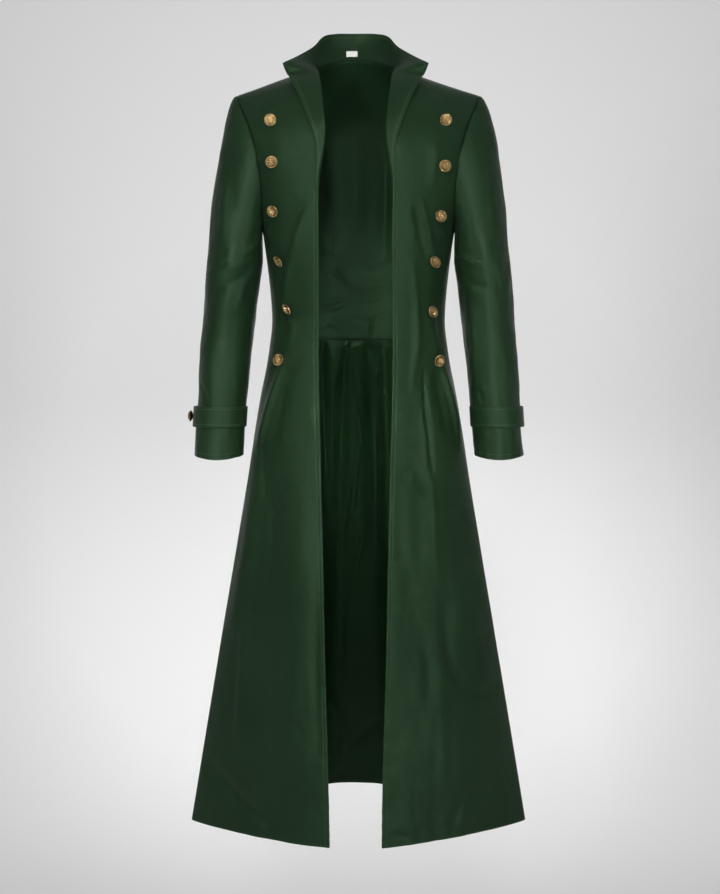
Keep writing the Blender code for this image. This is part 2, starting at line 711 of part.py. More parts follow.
def main():
    for item in list(bpy.data.objects):
        bpy.data.objects.remove(item)
    cloth = make_material("green_cloth", (0.020, 0.043, 0.022), 0.55)
    brass = make_material("gold_buttons", (0.78, 0.52, 0.22), 0.28, 1.0)
    white = make_material("label_tape", (0.85, 0.85, 0.83), 0.8)

    front = front_grid()
    sleeve = sleeve_grid()
    panels = [
        Panel("front_left", settled(front), cloth, sewn="top end start", level="bottom"),
        Panel("front_right", settled(mirrored(front)), cloth, sewn="top start end", level="bottom"),
        Panel("back_bodice", settled(back_grid()), cloth, sewn="top bottom start end", level="bottom"),
        Panel("back_skirt", settled(back_skirt_grid()), cloth, sewn="top start end", level="top bottom"),
        Panel("sleeve_left", settled(sleeve), cloth, wrap=True, sewn="top", level="bottom"),
        Panel("sleeve_right", settled(mirrored(sleeve)), cloth, wrap=True, sewn="top", level="bottom"),
        Panel("collar", settled(collar_grid()), cloth, sewn="top"),
    ]
    sew(panels)
    for panel in panels:
        add_wall(panel)
    for strap in STRAPS:
        add_wall(strap_panel(strap, cloth))
    add_wall(label_panel(panels[-1], white))
    named = {panel.name: panel for panel in panels}
    for number, row in enumerate(BUTTONS, 1):
        right = seat_on(named["front_right"], -row.right_across, row.right_height)
        left = seat_on(named["front_left"], row.left_across, row.left_height)
        add_button(f"front_button_right_{number}", *right, brass)
        add_button(f"front_button_left_{number}", *left, brass)
    for strap in STRAPS:
        panel = strap_panel(strap, cloth)
        share = (STRAP_START_TURN - strap.button_turn) / (STRAP_START_TURN - strap.end_turn)
        at = (1 - share) * STRAP_STEPS if strap.side == "right" else share * STRAP_STEPS
        step = int(at)
        seat = panel.grid[1, step] * (step + 1 - at) + panel.grid[1, step + 1] * (at - step)
        along = panel.grid[1, step + 1] - panel.grid[1, step]
        out = np.cross(panel.grid[2, step] - panel.grid[0, step], along)
        add_button(f"cuff_button_{strap.side}", seat, out / np.linalg.norm(out), brass)


main()
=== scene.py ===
import math
from collections import namedtuple

import bmesh
import bpy
import numpy as np
from mathutils import Matrix, Vector, noise


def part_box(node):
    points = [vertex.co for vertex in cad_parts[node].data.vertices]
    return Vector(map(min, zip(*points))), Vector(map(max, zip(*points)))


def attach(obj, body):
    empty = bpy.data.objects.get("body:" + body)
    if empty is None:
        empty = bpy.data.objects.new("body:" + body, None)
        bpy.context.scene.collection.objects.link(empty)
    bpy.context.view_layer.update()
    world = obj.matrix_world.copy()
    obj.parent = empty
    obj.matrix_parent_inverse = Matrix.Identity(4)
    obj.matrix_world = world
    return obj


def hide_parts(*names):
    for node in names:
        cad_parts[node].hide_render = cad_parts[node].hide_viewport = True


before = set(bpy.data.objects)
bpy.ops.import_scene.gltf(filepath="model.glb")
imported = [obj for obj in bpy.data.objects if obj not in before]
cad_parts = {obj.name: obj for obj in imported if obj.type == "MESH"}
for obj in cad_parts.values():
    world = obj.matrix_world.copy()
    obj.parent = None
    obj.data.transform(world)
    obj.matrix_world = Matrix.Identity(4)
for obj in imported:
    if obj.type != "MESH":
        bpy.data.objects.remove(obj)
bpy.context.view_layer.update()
bpy.ops.object.select_all(action="DESELECT")

# The two fronts. Each is one piece of dark green satin-faced twill from shoulder to hem, faced along its
# front edge, which is pressed, edge-stitched and a little puckered. The hem is turned up inside.
TWILL_THICK = 0.0015
EDGE_THICK = 0.0011
NECK_HALF_WIDTH = 0.072
SHOULDER_HALF_WIDTH = 0.216
SHOULDER_DROP = 0.05
UNDERARM = -0.285
WAIST_SEAM = -0.485
HEM = -1.365
LEAN = -0.005
SHOULDER_ROLL = 0.16
BREAK_HEIGHT = -0.224

# Grid steps of the fronts, and the closer ones beside a sewn and beside a stitched edge
SHOULDER_STEPS = 56
ROLL_STEPS = 64
BREAK_STEPS = 14
BODICE_STEPS = 56
SKIRT_STEPS = 176
SEWN = (0.0012, 0.003)
STITCHED = (0.0012, 0.003, 0.0046, 0.0058, 0.007, 0.009)


def table(names, *rows):
    """A table's columns by name, in the order of its first column."""
    return dict(zip(names.split(), np.array(sorted(rows), float).T))


BODY = table(
    "height half_width front_depth back_depth width_power front_power back_power",
    (0.06, 0.262, 0.1, 0.102, 2.4, 2.0, 2.0),
    (-0.05, 0.245, 0.112, 0.108, 2.4, 2.0, 2.0),
    (-0.12, 0.222, 0.122, 0.114, 2.4, 2.0, 2.0),
    (-0.2, 0.198, 0.127, 0.117, 2.4, 2.0, 2.0),
    (-0.25, 0.1835, 0.128, 0.116, 2.3, 2.0, 2.0),
    (-0.285, 0.1735, 0.127, 0.114, 2.3, 2.0, 2.0),
    (-0.341, 0.1649, 0.123, 0.107, 2.2, 2.0, 2.0),
    (-0.414, 0.157, 0.113, 0.094, 2.1, 2.0, 2.0),
    (-0.45, 0.1553, 0.109, 0.089, 2.0, 2.0, 2.0),
    (-0.5, 0.1603, 0.109, 0.092, 2.0, 1.9, 2.0),
    (-0.595, 0.1767, 0.116, 0.12, 1.9, 1.7, 1.9),
    (-0.867, 0.223, 0.138, 0.178, 1.65, 1.35, 1.6),
    (HEM, 0.3067, 0.187, 0.262, 1.45, 1.1, 1.35),
)
SHOULDER = table(
    "across height",
    (0.0, 0.065), (0.036, 0.043), (0.06, 0.015), (NECK_HALF_WIDTH, 0.0), (0.086, -0.0075),
    (0.121, -0.0195), (SHOULDER_HALF_WIDTH, -SHOULDER_DROP), (0.262, -0.064),
)
ARMHOLE = table(
    "height front_across back_across",
    (-SHOULDER_DROP, SHOULDER_HALF_WIDTH, SHOULDER_HALF_WIDTH), (-0.072, 0.209, 0.211),
    (-0.099, 0.1965, 0.204), (-0.129, 0.1865, 0.1975), (-0.164, 0.178, 0.192),
    (-0.21, 0.172, 0.185), (-0.25, 0.17, 0.1765), (-0.27, 0.171, 0.1745),
    (UNDERARM, 0.1735, 0.1735),
)
FRONT_EDGE = table(
    "height across",
    (0.0, NECK_HALF_WIDTH), (-0.02, 0.066), (-0.041, 0.0627), (-0.09, 0.0569), (-0.1225, 0.0535),
    (-0.15, 0.0549), (-0.177, 0.0592), (-0.205, 0.0636), (BREAK_HEIGHT, 0.0653), (-0.331, 0.065),
    (-0.504, 0.0656), (-0.77, 0.0602), (-1.028, 0.0543), (-1.22, 0.0492), (HEM, 0.0464),
)


def smooth(rows, column, at):
    """The column's value at a place on the table's first column, on a smooth curve through the rows."""
    x, y = next(iter(rows.values())), rows[column]
    slope = np.diff(y) / np.diff(x)
    tangent = np.concatenate([slope[:1], (slope[:-1] + slope[1:]) / 2, slope[-1:]])
    tangent[1:-1][slope[:-1] * slope[1:] <= 0] = 0.0
    at = np.clip(at, x[0], x[-1])
    i = np.clip(np.searchsorted(x, at, side="right") - 1, 0, len(slope) - 1)
    step = x[i + 1] - x[i]
    t = (at - x[i]) / step
    return (
        y[i] * (1 + 2 * t) * (1 - t) ** 2 + tangent[i] * step * t * (1 - t) ** 2
        + y[i + 1] * t**2 * (3 - 2 * t) - tangent[i + 1] * step * t**2 * (1 - t)
    )


def ease(t):
    t = np.clip(t, 0.0, 1.0)
    return t * t * (3 - 2 * t)


def body_y(x, z, side):
    """How far forward or back the coat's outer face lies at a place across and a height."""
    share = np.clip(np.abs(x) / smooth(BODY, "half_width", z), 0.0, 1.0)
    across = 1 - share ** smooth(BODY, "width_power", z)
    drop = np.clip((smooth(SHOULDER, "height", np.abs(x)) - z) / SHOULDER_ROLL, 0.0, 1.0)
    roll = np.sqrt(1 - (1 - drop) ** 2)
    deep = smooth(BODY, side + "_depth", z) * across ** (1 / smooth(BODY, side + "_power", z))
    return (-1 if side == "front" else 1) * deep * roll


def on_body(x, z, side):
    return np.stack([x, body_y(x, z, side), z], axis=1)


def run_of(points):
    return np.concatenate([[0], np.cumsum(np.linalg.norm(np.diff(points, axis=0), axis=1))])


def at_run(at, run, points):
    """A line's points at given lengths along it."""
    return np.stack([np.interp(at, run, column) for column in points.T], axis=1)


def unit(ways):
    """Directions of length one."""
    return ways / np.maximum(np.linalg.norm(ways, axis=-1), 1e-12)[..., None]


def laid(points, count, start=SEWN, end=SEWN, run=None):
    """The line's points at even steps, with closer ones beside its two ends."""
    points = np.asarray(points, float)
    run = run_of(points) if run is None else run
    even = np.linspace(start[-1], run[-1] - end[-1], count + 1)[1:-1]
    at = np.concatenate([(0,), start, even, run[-1] - np.array(end[::-1]), (run[-1],)])
    return at_run(at, run, points)


def levels(top, bottom, count):
    return laid([(0, 0, top), (0, 0, bottom)], count)[:, 2]


def section_line(z, side, start):
    """A level line on the coat from start across to the side seam."""
    half = smooth(BODY, "half_width", z)
    x = start + (half - start) * np.sin(np.linspace(0, math.pi / 2, 240))
    return on_body(x, np.full_like(x, z), side)


def armhole_line(side, count):
    z = np.concatenate([np.linspace(-SHOULDER_DROP, UNDERARM, 400), UNDERARM + 0.02 * np.linspace(0, 1, 90)])
    z = np.sort(z)[::-1]
    x = smooth(ARMHOLE, side + "_across", z)
    return laid(on_body(x, z, side), count)


def shoulder_line():
    x = np.linspace(NECK_HALF_WIDTH, SHOULDER_HALF_WIDTH, 200)
    line = np.stack([x, np.zeros_like(x), smooth(SHOULDER, "height", x)], axis=1)
    return laid(line, SHOULDER_STEPS, start=STITCHED)


def roll_line():
    z = np.linspace(0, BREAK_HEIGHT, 400)
    x = smooth(FRONT_EDGE, "across", z)
    return laid(on_body(x, z, "front"), ROLL_STEPS)


BODICE_LEVELS = levels(UNDERARM, WAIST_SEAM, BODICE_STEPS)
SKIRT_LEVELS = levels(WAIST_SEAM, HEM, SKIRT_STEPS)


def front_grid():
    """The left front's outer face: rows from shoulder seam to hem, columns from front edge to side."""
    low = np.linspace(BREAK_HEIGHT, UNDERARM, BREAK_STEPS + 1)[1:]
    x = smooth(FRONT_EDGE, "across", low)
    edge = np.concatenate([roll_line(), on_body(x, low, "front")])
    side = armhole_line("front", ROLL_STEPS + BREAK_STEPS)
    top = shoulder_line()
    share = ((top[:, 0] - top[0, 0]) / (top[-1, 0] - top[0, 0]))[:, None]
    rows = [top]
    for step in range(1, len(edge)):
        inner, outer = edge[step], side[step]
        line = np.linspace(inner, outer, 240)
        line[:, 1] = body_y(line[:, 0], line[:, 2], "front")
        even = laid(line, SHOULDER_STEPS, start=STITCHED)
        straight = inner + (outer - inner) * share
        row = straight + (even - straight) * ease(2 * step / (len(edge) - 1))
        row[:, 1] = body_y(row[:, 0], row[:, 2], "front")
        row[0], row[-1] = inner, outer
        rows.append(row)
    for z in np.concatenate([BODICE_LEVELS[1:], SKIRT_LEVELS[1:]]):
        line = section_line(z, "front", smooth(FRONT_EDGE, "across", z))
        rows.append(laid(line, SHOULDER_STEPS, start=STITCHED))
    return np.array(rows)


def mirrored(grid):
    return (grid * [-1, 1, 1])[:, ::-1]


def settled(grid):
    """The grid moved to the wearer's right near the middle of the coat, and not at its sides."""
    grid = grid.copy()
    out = np.abs(grid[..., 0]) / smooth(BODY, "half_width", grid[..., 2])
    grid[..., 0] += LEAN * (1 - ease(2 * out - 1))
    return grid


def distance(points, line):
    """How far each point lies from the nearest point of a line."""
    flat = points.reshape(-1, 3)
    near = [np.sqrt(((part[:, None] - line[None]) ** 2).sum(2)).min(1) for part in np.array_split(flat, 64)]
    return np.concatenate(near).reshape(points.shape[:-1])


# A crease's row gives its height outwards, negative for a trough, its half width and its lean, then the
# points of its path, each across and up, in millimetres. A lean makes it steeper on one side. It dies out
# at both ends.
PATH_STEPS = 48
PATH_ROUNDING = 6


def creased(flat, rows, units=(0.001, 0.001)):
    """How far creases lift the cloth at each place of a flat pattern."""
    lift = np.zeros(flat.shape[:-1])
    for height, width, lean, *path in rows:
        width = width / 1000
        path = np.reshape(path, (-1, 2)) * units
        fine = at_run(np.linspace(0, len(path) - 1, PATH_STEPS), range(len(path)), path)
        for _ in range(PATH_ROUNDING):
            fine[1:-1] = (fine[:-2] + fine[2:]) / 2
        reach = 3 * width * (1 + abs(lean))
        inside = ((flat > fine.min(0) - reach) & (flat < fine.max(0) + reach)).all(-1)
        here = flat[inside]
        if not len(here):
            continue
        way = np.diff(fine, axis=0)
        from_start = here[:, None] - fine[None, :-1]
        t = np.clip((from_start * way).sum(2) / (way**2).sum(1), 0, 1)
        off = from_start - way * t[..., None]
        far = (off**2).sum(2)
        k = far.argmin(1)
        pick = np.arange(len(here))
        along = (k + t[pick, k]) / len(way)
        side = np.sign(way[k, 0] * off[pick, k, 1] - way[k, 1] * off[pick, k, 0])
        far = np.sqrt(far[pick, k]) / (width * (1 + lean * side))
        lift[inside] += height / 1000 * np.sin(math.pi * along) ** 0.7 * np.exp(-(far**2))
    return lift


def rippled(points, size, stretch, seed):
    """Soft uneven ripples, longer down the cloth than across it, from -1 to 1."""
    flat = points.reshape(-1, 3) / (size, size, size * stretch) + seed * 7.31
    return np.array([noise.noise(Vector(p)) for p in flat]).reshape(points.shape[:-1])


def body_way(points):
    """The level direction out of the coat's body."""
    x, y, z = np.moveaxis(points, -1, 0)
    deep = np.where(y < 0, smooth(BODY, "front_depth", z), smooth(BODY, "back_depth", z))
    return unit(np.stack([x / smooth(BODY, "half_width", z) ** 2, y / deep**2, np.zeros_like(z)], axis=-1))


# Each kind of ripple: its size across, how much longer it is down the cloth, and its height on the chest and
# what the skirt adds to it
BODY_RIPPLES = ((0.085, 3.6, 0.002, 0.0048), (0.026, 2.4, 0.0008, 0.0007))
SKIRT_RISE = 0.5
SIDE_STRAIGHT = 0.92


def body_ripples(points):
    """The body's own unevenness, shared by the pieces that meet at its seams: slight on the chest, broader
    down the skirt, and nearly none at the side seams, which hang straight."""
    low = ease((WAIST_SEAM - points[..., 2]) / SKIRT_RISE)
    lift = sum(
        rippled(points, size, stretch, seed) * (height + more * low)
        for seed, (size, stretch, height, more) in enumerate(BODY_RIPPLES, 1)
    )
    return lift * (1 - SIDE_STRAIGHT * body_way(points)[..., 0] ** 4)


class Panel:
    """A piece of cloth as a grid of points on its outer face. Its edges are start, end, top and bottom, and
    each is sewn or free."""

    def __init__(self, grid, wrap=False, sewn=""):
        self.grid = grid
        self.wrap = wrap
        self.sewn = sewn.split()
        across = np.linalg.norm(np.diff(grid, axis=1), axis=2)
        down = np.linalg.norm(np.diff(grid, axis=0), axis=2)
        self.u = np.pad(np.cumsum(across, axis=1), ((0, 0), (1, 0)))
        self.v = np.pad(np.cumsum(down, axis=0), ((1, 0), (0, 0)))
        self.edge_run = {"top": self.v, "bottom": self.v[-1:] - self.v}
        if not wrap:
            self.edge_run.update(start=self.u, end=self.u[:, -1:] - self.u)

    def reach(self, sewn):
        """How far each place is from the nearest sewn or free edge."""
        runs = [run for edge, run in self.edge_run.items() if (edge in self.sewn) == sewn]
        return np.minimum.reduce(runs) if runs else np.full(self.u.shape, 1.0)

    def out(self):
        if self.wrap:
            across = np.roll(self.grid, -1, axis=1) - np.roll(self.grid, 1, axis=1)
        else:
            across = np.gradient(self.grid, axis=1)
        return unit(np.cross(np.gradient(self.grid, axis=0), across))


SEAM_PUFF = 0.0006
SEAM_THIN = 0.0004
SEAM_ZONE = 0.002
ROUNDED_ZONE = 0.004
EDGE_BAND = 0.012
TURNED_IN = 0.01
RIM_TURNS = (0.5, -0.5)


def linked(name, data):
    data.name = name
    item = bpy.data.objects.new(name, data)
    bpy.context.scene.collection.objects.link(item)
    return item


def wall(name, panel, thick=TWILL_THICK, edge_thick=EDGE_THICK, faced=False):
    """The panel as a closed wall: thin and drawn in at a seam, thicker and rounded at a free edge. Its inner
    side is the cloth's dull wrong side, unless it is faced with a second layer or near a turned-in edge."""
    to_seam, to_edge = panel.reach(True), panel.reach(False)
    whole = 1 - np.exp(-((to_seam / SEAM_ZONE) ** 2))
    out = panel.out()
    outer = panel.grid + out * (SEAM_PUFF * whole)[..., None]
    turned = edge_thick * np.exp(-((to_edge / EDGE_BAND) ** 4))
    deep = SEAM_THIN + (thick - SEAM_THIN + turned) * whole
    inner = outer - out * deep[..., None]
    panel.outer, panel.inner, panel.face_out = outer, inner, out
    rows, columns = panel.u.shape
    count = rows * columns
    number = np.arange(count).reshape(rows, columns)
    c = np.arange(columns if panel.wrap else columns - 1)
    n = (c + 1) % columns
    quads = np.stack([number[:-1, c], number[1:, c], number[1:, n], number[:-1, n]], axis=-1)
    quads = quads.reshape(-1, 4)
    faces = [quads, quads[:, ::-1] + count]
    loops = [number[0], number[-1, ::-1]]
    if not panel.wrap:
        loops = [np.concatenate([number[0], number[1:, -1], number[-1, -2::-1], number[-2:0:-1, 0]])]
    outer, inner, out = (grid.reshape(-1, 3) for grid in (outer, inner, out))
    to_seam, to_edge = to_seam.ravel(), to_edge.ravel()
    points, source = [outer, inner], [number.ravel(), number.ravel()]
    used = 2 * count
    for loop in loops:
        along = np.roll(outer[loop], -1, axis=0) - np.roll(outer[loop], 1, axis=0)
        away = unit(np.cross(out[loop], along))
        half = np.linalg.norm(outer[loop] - inner[loop], axis=1)[:, None] / 2
        bulge = away * half * np.clip(to_seam[loop] / ROUNDED_ZONE, 0, 1)[:, None]
        lines = [loop]
        for turn in RIM_TURNS:
            middle = (outer[loop] + inner[loop]) / 2
            points.append(middle + out[loop] * half * turn + bulge * math.sqrt(1 - turn**2))
            lines.append(used + np.arange(len(loop)))
            used += len(loop)
            source.append(loop)
        lines.append(loop + count)
        faces += [np.stack([a, np.roll(a, -1), np.roll(b, -1), b], axis=1) for a, b in zip(lines, lines[1:])]
    faces, source = np.concatenate(faces), np.concatenate(source)
    rim = np.zeros(used - 2 * count)
    mesh = bpy.data.meshes.new(name)
    mesh.from_pydata(np.concatenate(points).tolist(), [], faces.tolist())
    uv = np.stack([panel.u.ravel(), panel.v.ravel()], axis=1)[source]
    mesh.uv_layers.new(name="cloth").data.foreach_set("uv", uv[faces].astype(np.float32).ravel())
    dull = np.zeros(count) if faced else ease(to_edge / TURNED_IN)
    # The seam mark is each place's distance to a sewn edge; the twill uses it to paint shade beside its
    # seams
    for mark, values in (
        ("edge", to_edge[source]),
        ("seam", np.concatenate([to_seam, to_seam, rim + 1])),
        ("wrong_side", np.concatenate([np.zeros(count), dull, rim])),
    ):
        mesh.attributes.new(mark, "FLOAT", "POINT").data.foreach_set("value", values.astype(np.float32))
    mesh.shade_smooth()
    return linked(name, mesh)


class Look:
    """A material and the making of its nodes."""

    def __init__(self, name):
        self.material = bpy.data.materials.new(name)
        self.material.use_nodes = True
        self.tree = self.material.node_tree

    def fill(self, node, inputs):
        for name, value in dict(inputs).items():
            if isinstance(value, bpy.types.NodeSocket):
                self.tree.links.new(value, node.inputs[name])
            else:
                node.inputs[name].default_value = value

    def node(self, kind, inputs=(), out=0, **settings):
        """A new node's output, with its settings made and its inputs filled or joined."""
        node = self.tree.nodes.new("ShaderNode" + kind)
        for name, value in settings.items():
            setattr(node, name, value)
        self.fill(node, inputs)
        return node.outputs[out]

    def sum(self, kind, *values, **settings):
        return self.node("Math", enumerate(values), operation=kind, **settings)

    def noise(self, place, scale, detail):
        return self.node("TexNoise", {"Vector": place, "Scale": scale, "Detail": detail})

    def mix(self, share, first, second):
        return self.node("MixRGB", {0: share, 1: first, 2: second})

    def bump(self, height, strength, distance, inputs=()):
        sizes = {"Height": height, "Strength": strength, "Distance": distance}
        return self.node("Bump", {**sizes, **dict(inputs)})

    def shader(self, inputs):
        self.fill(self.tree.nodes["Principled BSDF"], inputs)
        return self.material


def rgb(colour, times=1.0):
    return (*(c * times for c in colour), 1)


WRONG_SIDE_SHADE = 1.45
# How dark the painted shade beside a seam makes the cloth
SEAM_PAINTED_SHADE = 0.2


def twill_material(name, colour, highlight, roughness):
    """Satin-faced twill: fine slanting wales, slightly uneven yarn, a soft sheen and paler worn edges, with
    broad patches of painted sheen and painted shade beside its seams.
    """
    look = Look(name)
    place = look.node("UVMap", uv_map="cloth")
    across, down = (look.node("SeparateXYZ", {0: place}, out=axis) for axis in (0, 1))
    wale = look.sum("SINE", look.sum("MULTIPLY_ADD", across, 5400.0, look.sum("MULTIPLY", down, 7200.0)))
    yarn = look.sum("SINE", look.sum("MULTIPLY", across, 13000.0))
    weave = look.sum("MULTIPLY_ADD", yarn, 0.45, wale)
    solid = look.node("TexCoord", out="Object")
    slub = look.noise(place, 420.0, 3.0)
    painted_sheen_patch = look.noise(solid, 5.0, 3.0)
    handled = look.noise(solid, 34.0, 4.0)
    edge, wrong, seam = (
        look.node("Attribute", out="Fac", attribute_name=mark) for mark in ("edge", "wrong_side", "seam")
    )
    shade = look.sum("MULTIPLY_ADD", weave, 0.05, look.sum("MULTIPLY_ADD", slub, 0.5, -0.25))
    # Broad noise patches mix the colour towards the highlight colour: painted sheen, added to the real yarn,
    # weave and wear variation
    shade = look.sum("MULTIPLY_ADD", painted_sheen_patch, 0.9, shade)
    worn = look.node("MapRange", {"Value": edge, 1: 0.004, 2: 0.0, 3: 0.0, 4: 0.45})
    tint = look.mix(look.sum("ADD", shade, worn, use_clamp=True), rgb(colour), rgb(highlight))
    dull = look.mix(wrong, tint, rgb(colour, WRONG_SIDE_SHADE))
    # Painted shade: within a few millimetres of a seam the colour darkens towards a fifth of itself,
    # standing in for the shadow in the seam's crevice
    deep = look.node("MapRange", {"Value": seam, 1: 0.0006, 2: 0.003, 3: 0.75, 4: 0.0})
    gloss = look.node("MapRange", {"Value": handled, 3: roughness - 0.09, 4: roughness + 0.09})
    fine = look.bump(weave, 0.35, 0.00008)
    return look.shader({
        "Base Color": look.mix(deep, dull, rgb(colour, SEAM_PAINTED_SHADE)),
        "Roughness": look.sum("MULTIPLY_ADD", wrong, 0.1, gloss),
        "Normal": look.bump(handled, 0.6, 0.0026, {"Normal": fine}),
        "Specular IOR Level": 0.2,
        "Specular Tint": (0.5, 0.86, 0.53, 1),
        "Sheen Weight": 0.015,
        "Sheen Roughness": 0.45,
        "Sheen Tint": (0.55, 0.75, 0.55, 1),
    })


# The lighter second colour serves the yarn's uneven tone, the worn edges and the painted sheen patches
green_twill = twill_material("green_twill", (0.0048, 0.0145, 0.0054), (0.016, 0.036, 0.0168), 0.37)


def dressed(piece, material, slot, *nodes):
    piece.data.materials.append(material)
    if nodes:
        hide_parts(*nodes)
    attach(piece, "root")
    return piece


fixed_lines = np.concatenate([
    armhole_line("front", 80), armhole_line("back", 80), shoulder_line(), roll_line(),
])
fixed_lines = settled(np.concatenate([fixed_lines, fixed_lines * [-1, 1, 1]]))


BODY_HOLD = 0.035
SEAM_HOLD = 0.014


def draped_body(grid, creases, sewn):
    """A body piece with its creases and ripples, which die out towards the shoulder, armhole and neck. Its
    creases die out at its other seams too, where the next piece has other ones."""
    free = 1 - np.exp(-((distance(grid, fixed_lines) / BODY_HOLD) ** 2))
    edges = {"start": grid[:, 0], "end": grid[:, -1], "top": grid[0], "bottom": grid[-1]}
    still = ease(distance(grid, np.concatenate([edges[edge] for edge in sewn.split()])) / SEAM_HOLD)
    lift = creased(grid[..., [0, 2]], creases) * still + body_ripples(grid)
    return grid + body_way(grid) * (lift * free)[..., None]


RIGHT_FRONT_CREASES = (
    (3.3, 7, 0.3, -73, -224, -96, -282, -115, -331, -129, -409),
    (-2.2, 8, 0, -87, -227, -119, -288, -138, -351),
    (2.8, 6, 0, -124, -351, -129, -417, -124, -473),
    (-4, 8, 0, -131, -422, -130, -448, -130, -473),
    (3, 8, 0, -114, -455, -119, -487, -130, -507),
    (7.4, 6, -0.4, -130, -521, -149, -577, -166, -634, -178, -686),
    (-4, 9, 0, -119, -532, -135, -591, -154, -669),
    (6.7, 14, 0, -168, -634, -189, -782, -199, -874, -213, -947, -229, -1017),
    (3, 8, 0, -201, -973, -210, -1112, -217, -1225),
    (-5.9, 15, 0, -279, -1245, -253, -1279, -220, -1307, -182, -1326, -140, -1344),
    (-3.3, 8, 0, -70, -869, -74, -1008, -72, -1121, -67, -1225),
    (4, 26, 0, -98, -678, -107, -1008, -116, -1286),
    (-3, 6, 0, -168, -671, -168, -721, -166, -773),
    (-2.5, 7, 0, -154, -730, -154, -852, -161, -939),
    (1.8, 5, 0, -96, -262, -105, -296, -108, -331),
    (-1.5, 9, 0, -167, -104, -156, -142, -153, -162),
)
LEFT_FRONT_CREASES = (
    (3.7, 5, 0.4, 108, -238, 119, -288, 133, -345),
    (-2.5, 6, 0, 98, -250, 109, -305, 121, -351),
    (2.5, 7, 0, 84, -258, 93, -288, 98, -313),
    (3.7, 7, 0, 95, -345, 102, -417, 104, -490, 93, -584),
    (-4.8, 4, 0.3, 114, -532, 116, -591, 125, -669, 130, -733),
    (2.5, 4, 0, 109, -600, 116, -660, 119, -713),
    (7.4, 6, 0.4, 144, -523, 158, -570, 172, -626, 182, -686),
    (-4.8, 8, 0, 135, -532, 144, -582, 156, -652),
    (-3.7, 8, 0, 142, -426, 145, -461, 149, -501),
    (-3, 12, 0, 72, -733, 100, -709, 125, -765),
    (1.7, 6, 0, 128, -709, 135, -808, 139, -904),
    (-3.2, 10, 0.2, 144, -907, 152, -999, 166, -1078, 187, -1111),
    (3.2, 22, 0, 187, -921, 206, -1034, 233, -1109),
    (-2, 8, 0, 187, -1116, 220, -1121, 253, -1123),
    (1.2, 8, 0, 144, -1043, 147, -1165, 149, -1295),
    (-1.7, 6, 0, 51, -1342, 69, -1349, 90, -1352),
    (-2.2, 7, 0, 182, -1300, 173, -1325, 163, -1349),
    (-2.2, 7, 0, 247, -1283, 240, -1307, 229, -1332),
    (1.2, 5, 0, 65, -754, 62, -779, 58, -806),
    (-1.7, 9, 0, 114, -1008, 121, -1060, 125, -1112),
    (2.2, 9, 0, 136, -142, 134, -184, 131, -219),
)


STITCH_INSET = 0.0058
PUCKER = 0.0019
PUCKER_LENGTH = 0.012
PUCKER_REACH = 0.009
STITCH_SINK = 0.0006
SINK_WIDTH = 0.0011


def puckered(panel, edge, below=1.0):
    """The panel with the cloth beside a stitched edge drawn in along the stitches and a little puckered."""
    run = panel.edge_run[edge]
    along = panel.v if edge in ("start", "end") else panel.u
    wave = rippled(np.stack([along, run * 0.3, run * 0], axis=-1), PUCKER_LENGTH, 1.0, len(edge))
    lift = PUCKER * wave * np.exp(-((run / PUCKER_REACH) ** 2))
    lift = lift - STITCH_SINK * np.exp(-(((run - STITCH_INSET) / SINK_WIDTH) ** 2))
    lift = lift * ease((below - panel.grid[..., 2]) / 0.01)
    panel.grid = panel.grid + panel.out() * lift[..., None]
    return panel


def inset_line(panel, edge, inset, inside=False):
    """The line on the panel at a distance in from one of its edges, and the directions out of the cloth."""
    surface = panel.inner if inside else panel.outer
    facing = -panel.face_out if inside else panel.face_out
    run = panel.edge_run[edge]
    if edge in ("top", "bottom"):
        surface, facing, run = surface.transpose(1, 0, 2), facing.transpose(1, 0, 2), run.T
    points, ways = [], []
    for here, out, far in zip(surface, facing, run):
        order = np.argsort(far)
        points.append(at_run([inset], far[order], here[order])[0])
        ways.append(at_run([inset], far[order], out[order])[0])
    return np.array(points), np.array(ways)


STITCH_PITCH = 0.0034
STITCH_LENGTH = 0.0026
THREAD_RADIUS = 0.0003
THREAD_SIDES = 5
LOOK_AHEAD = 0.0005
STITCH_RINGS = ((-0.5, -0.9, 0.3), (-0.28, 0.35, 1.0), (0.28, 0.35, 1.0), (0.5, -0.9, 0.3))


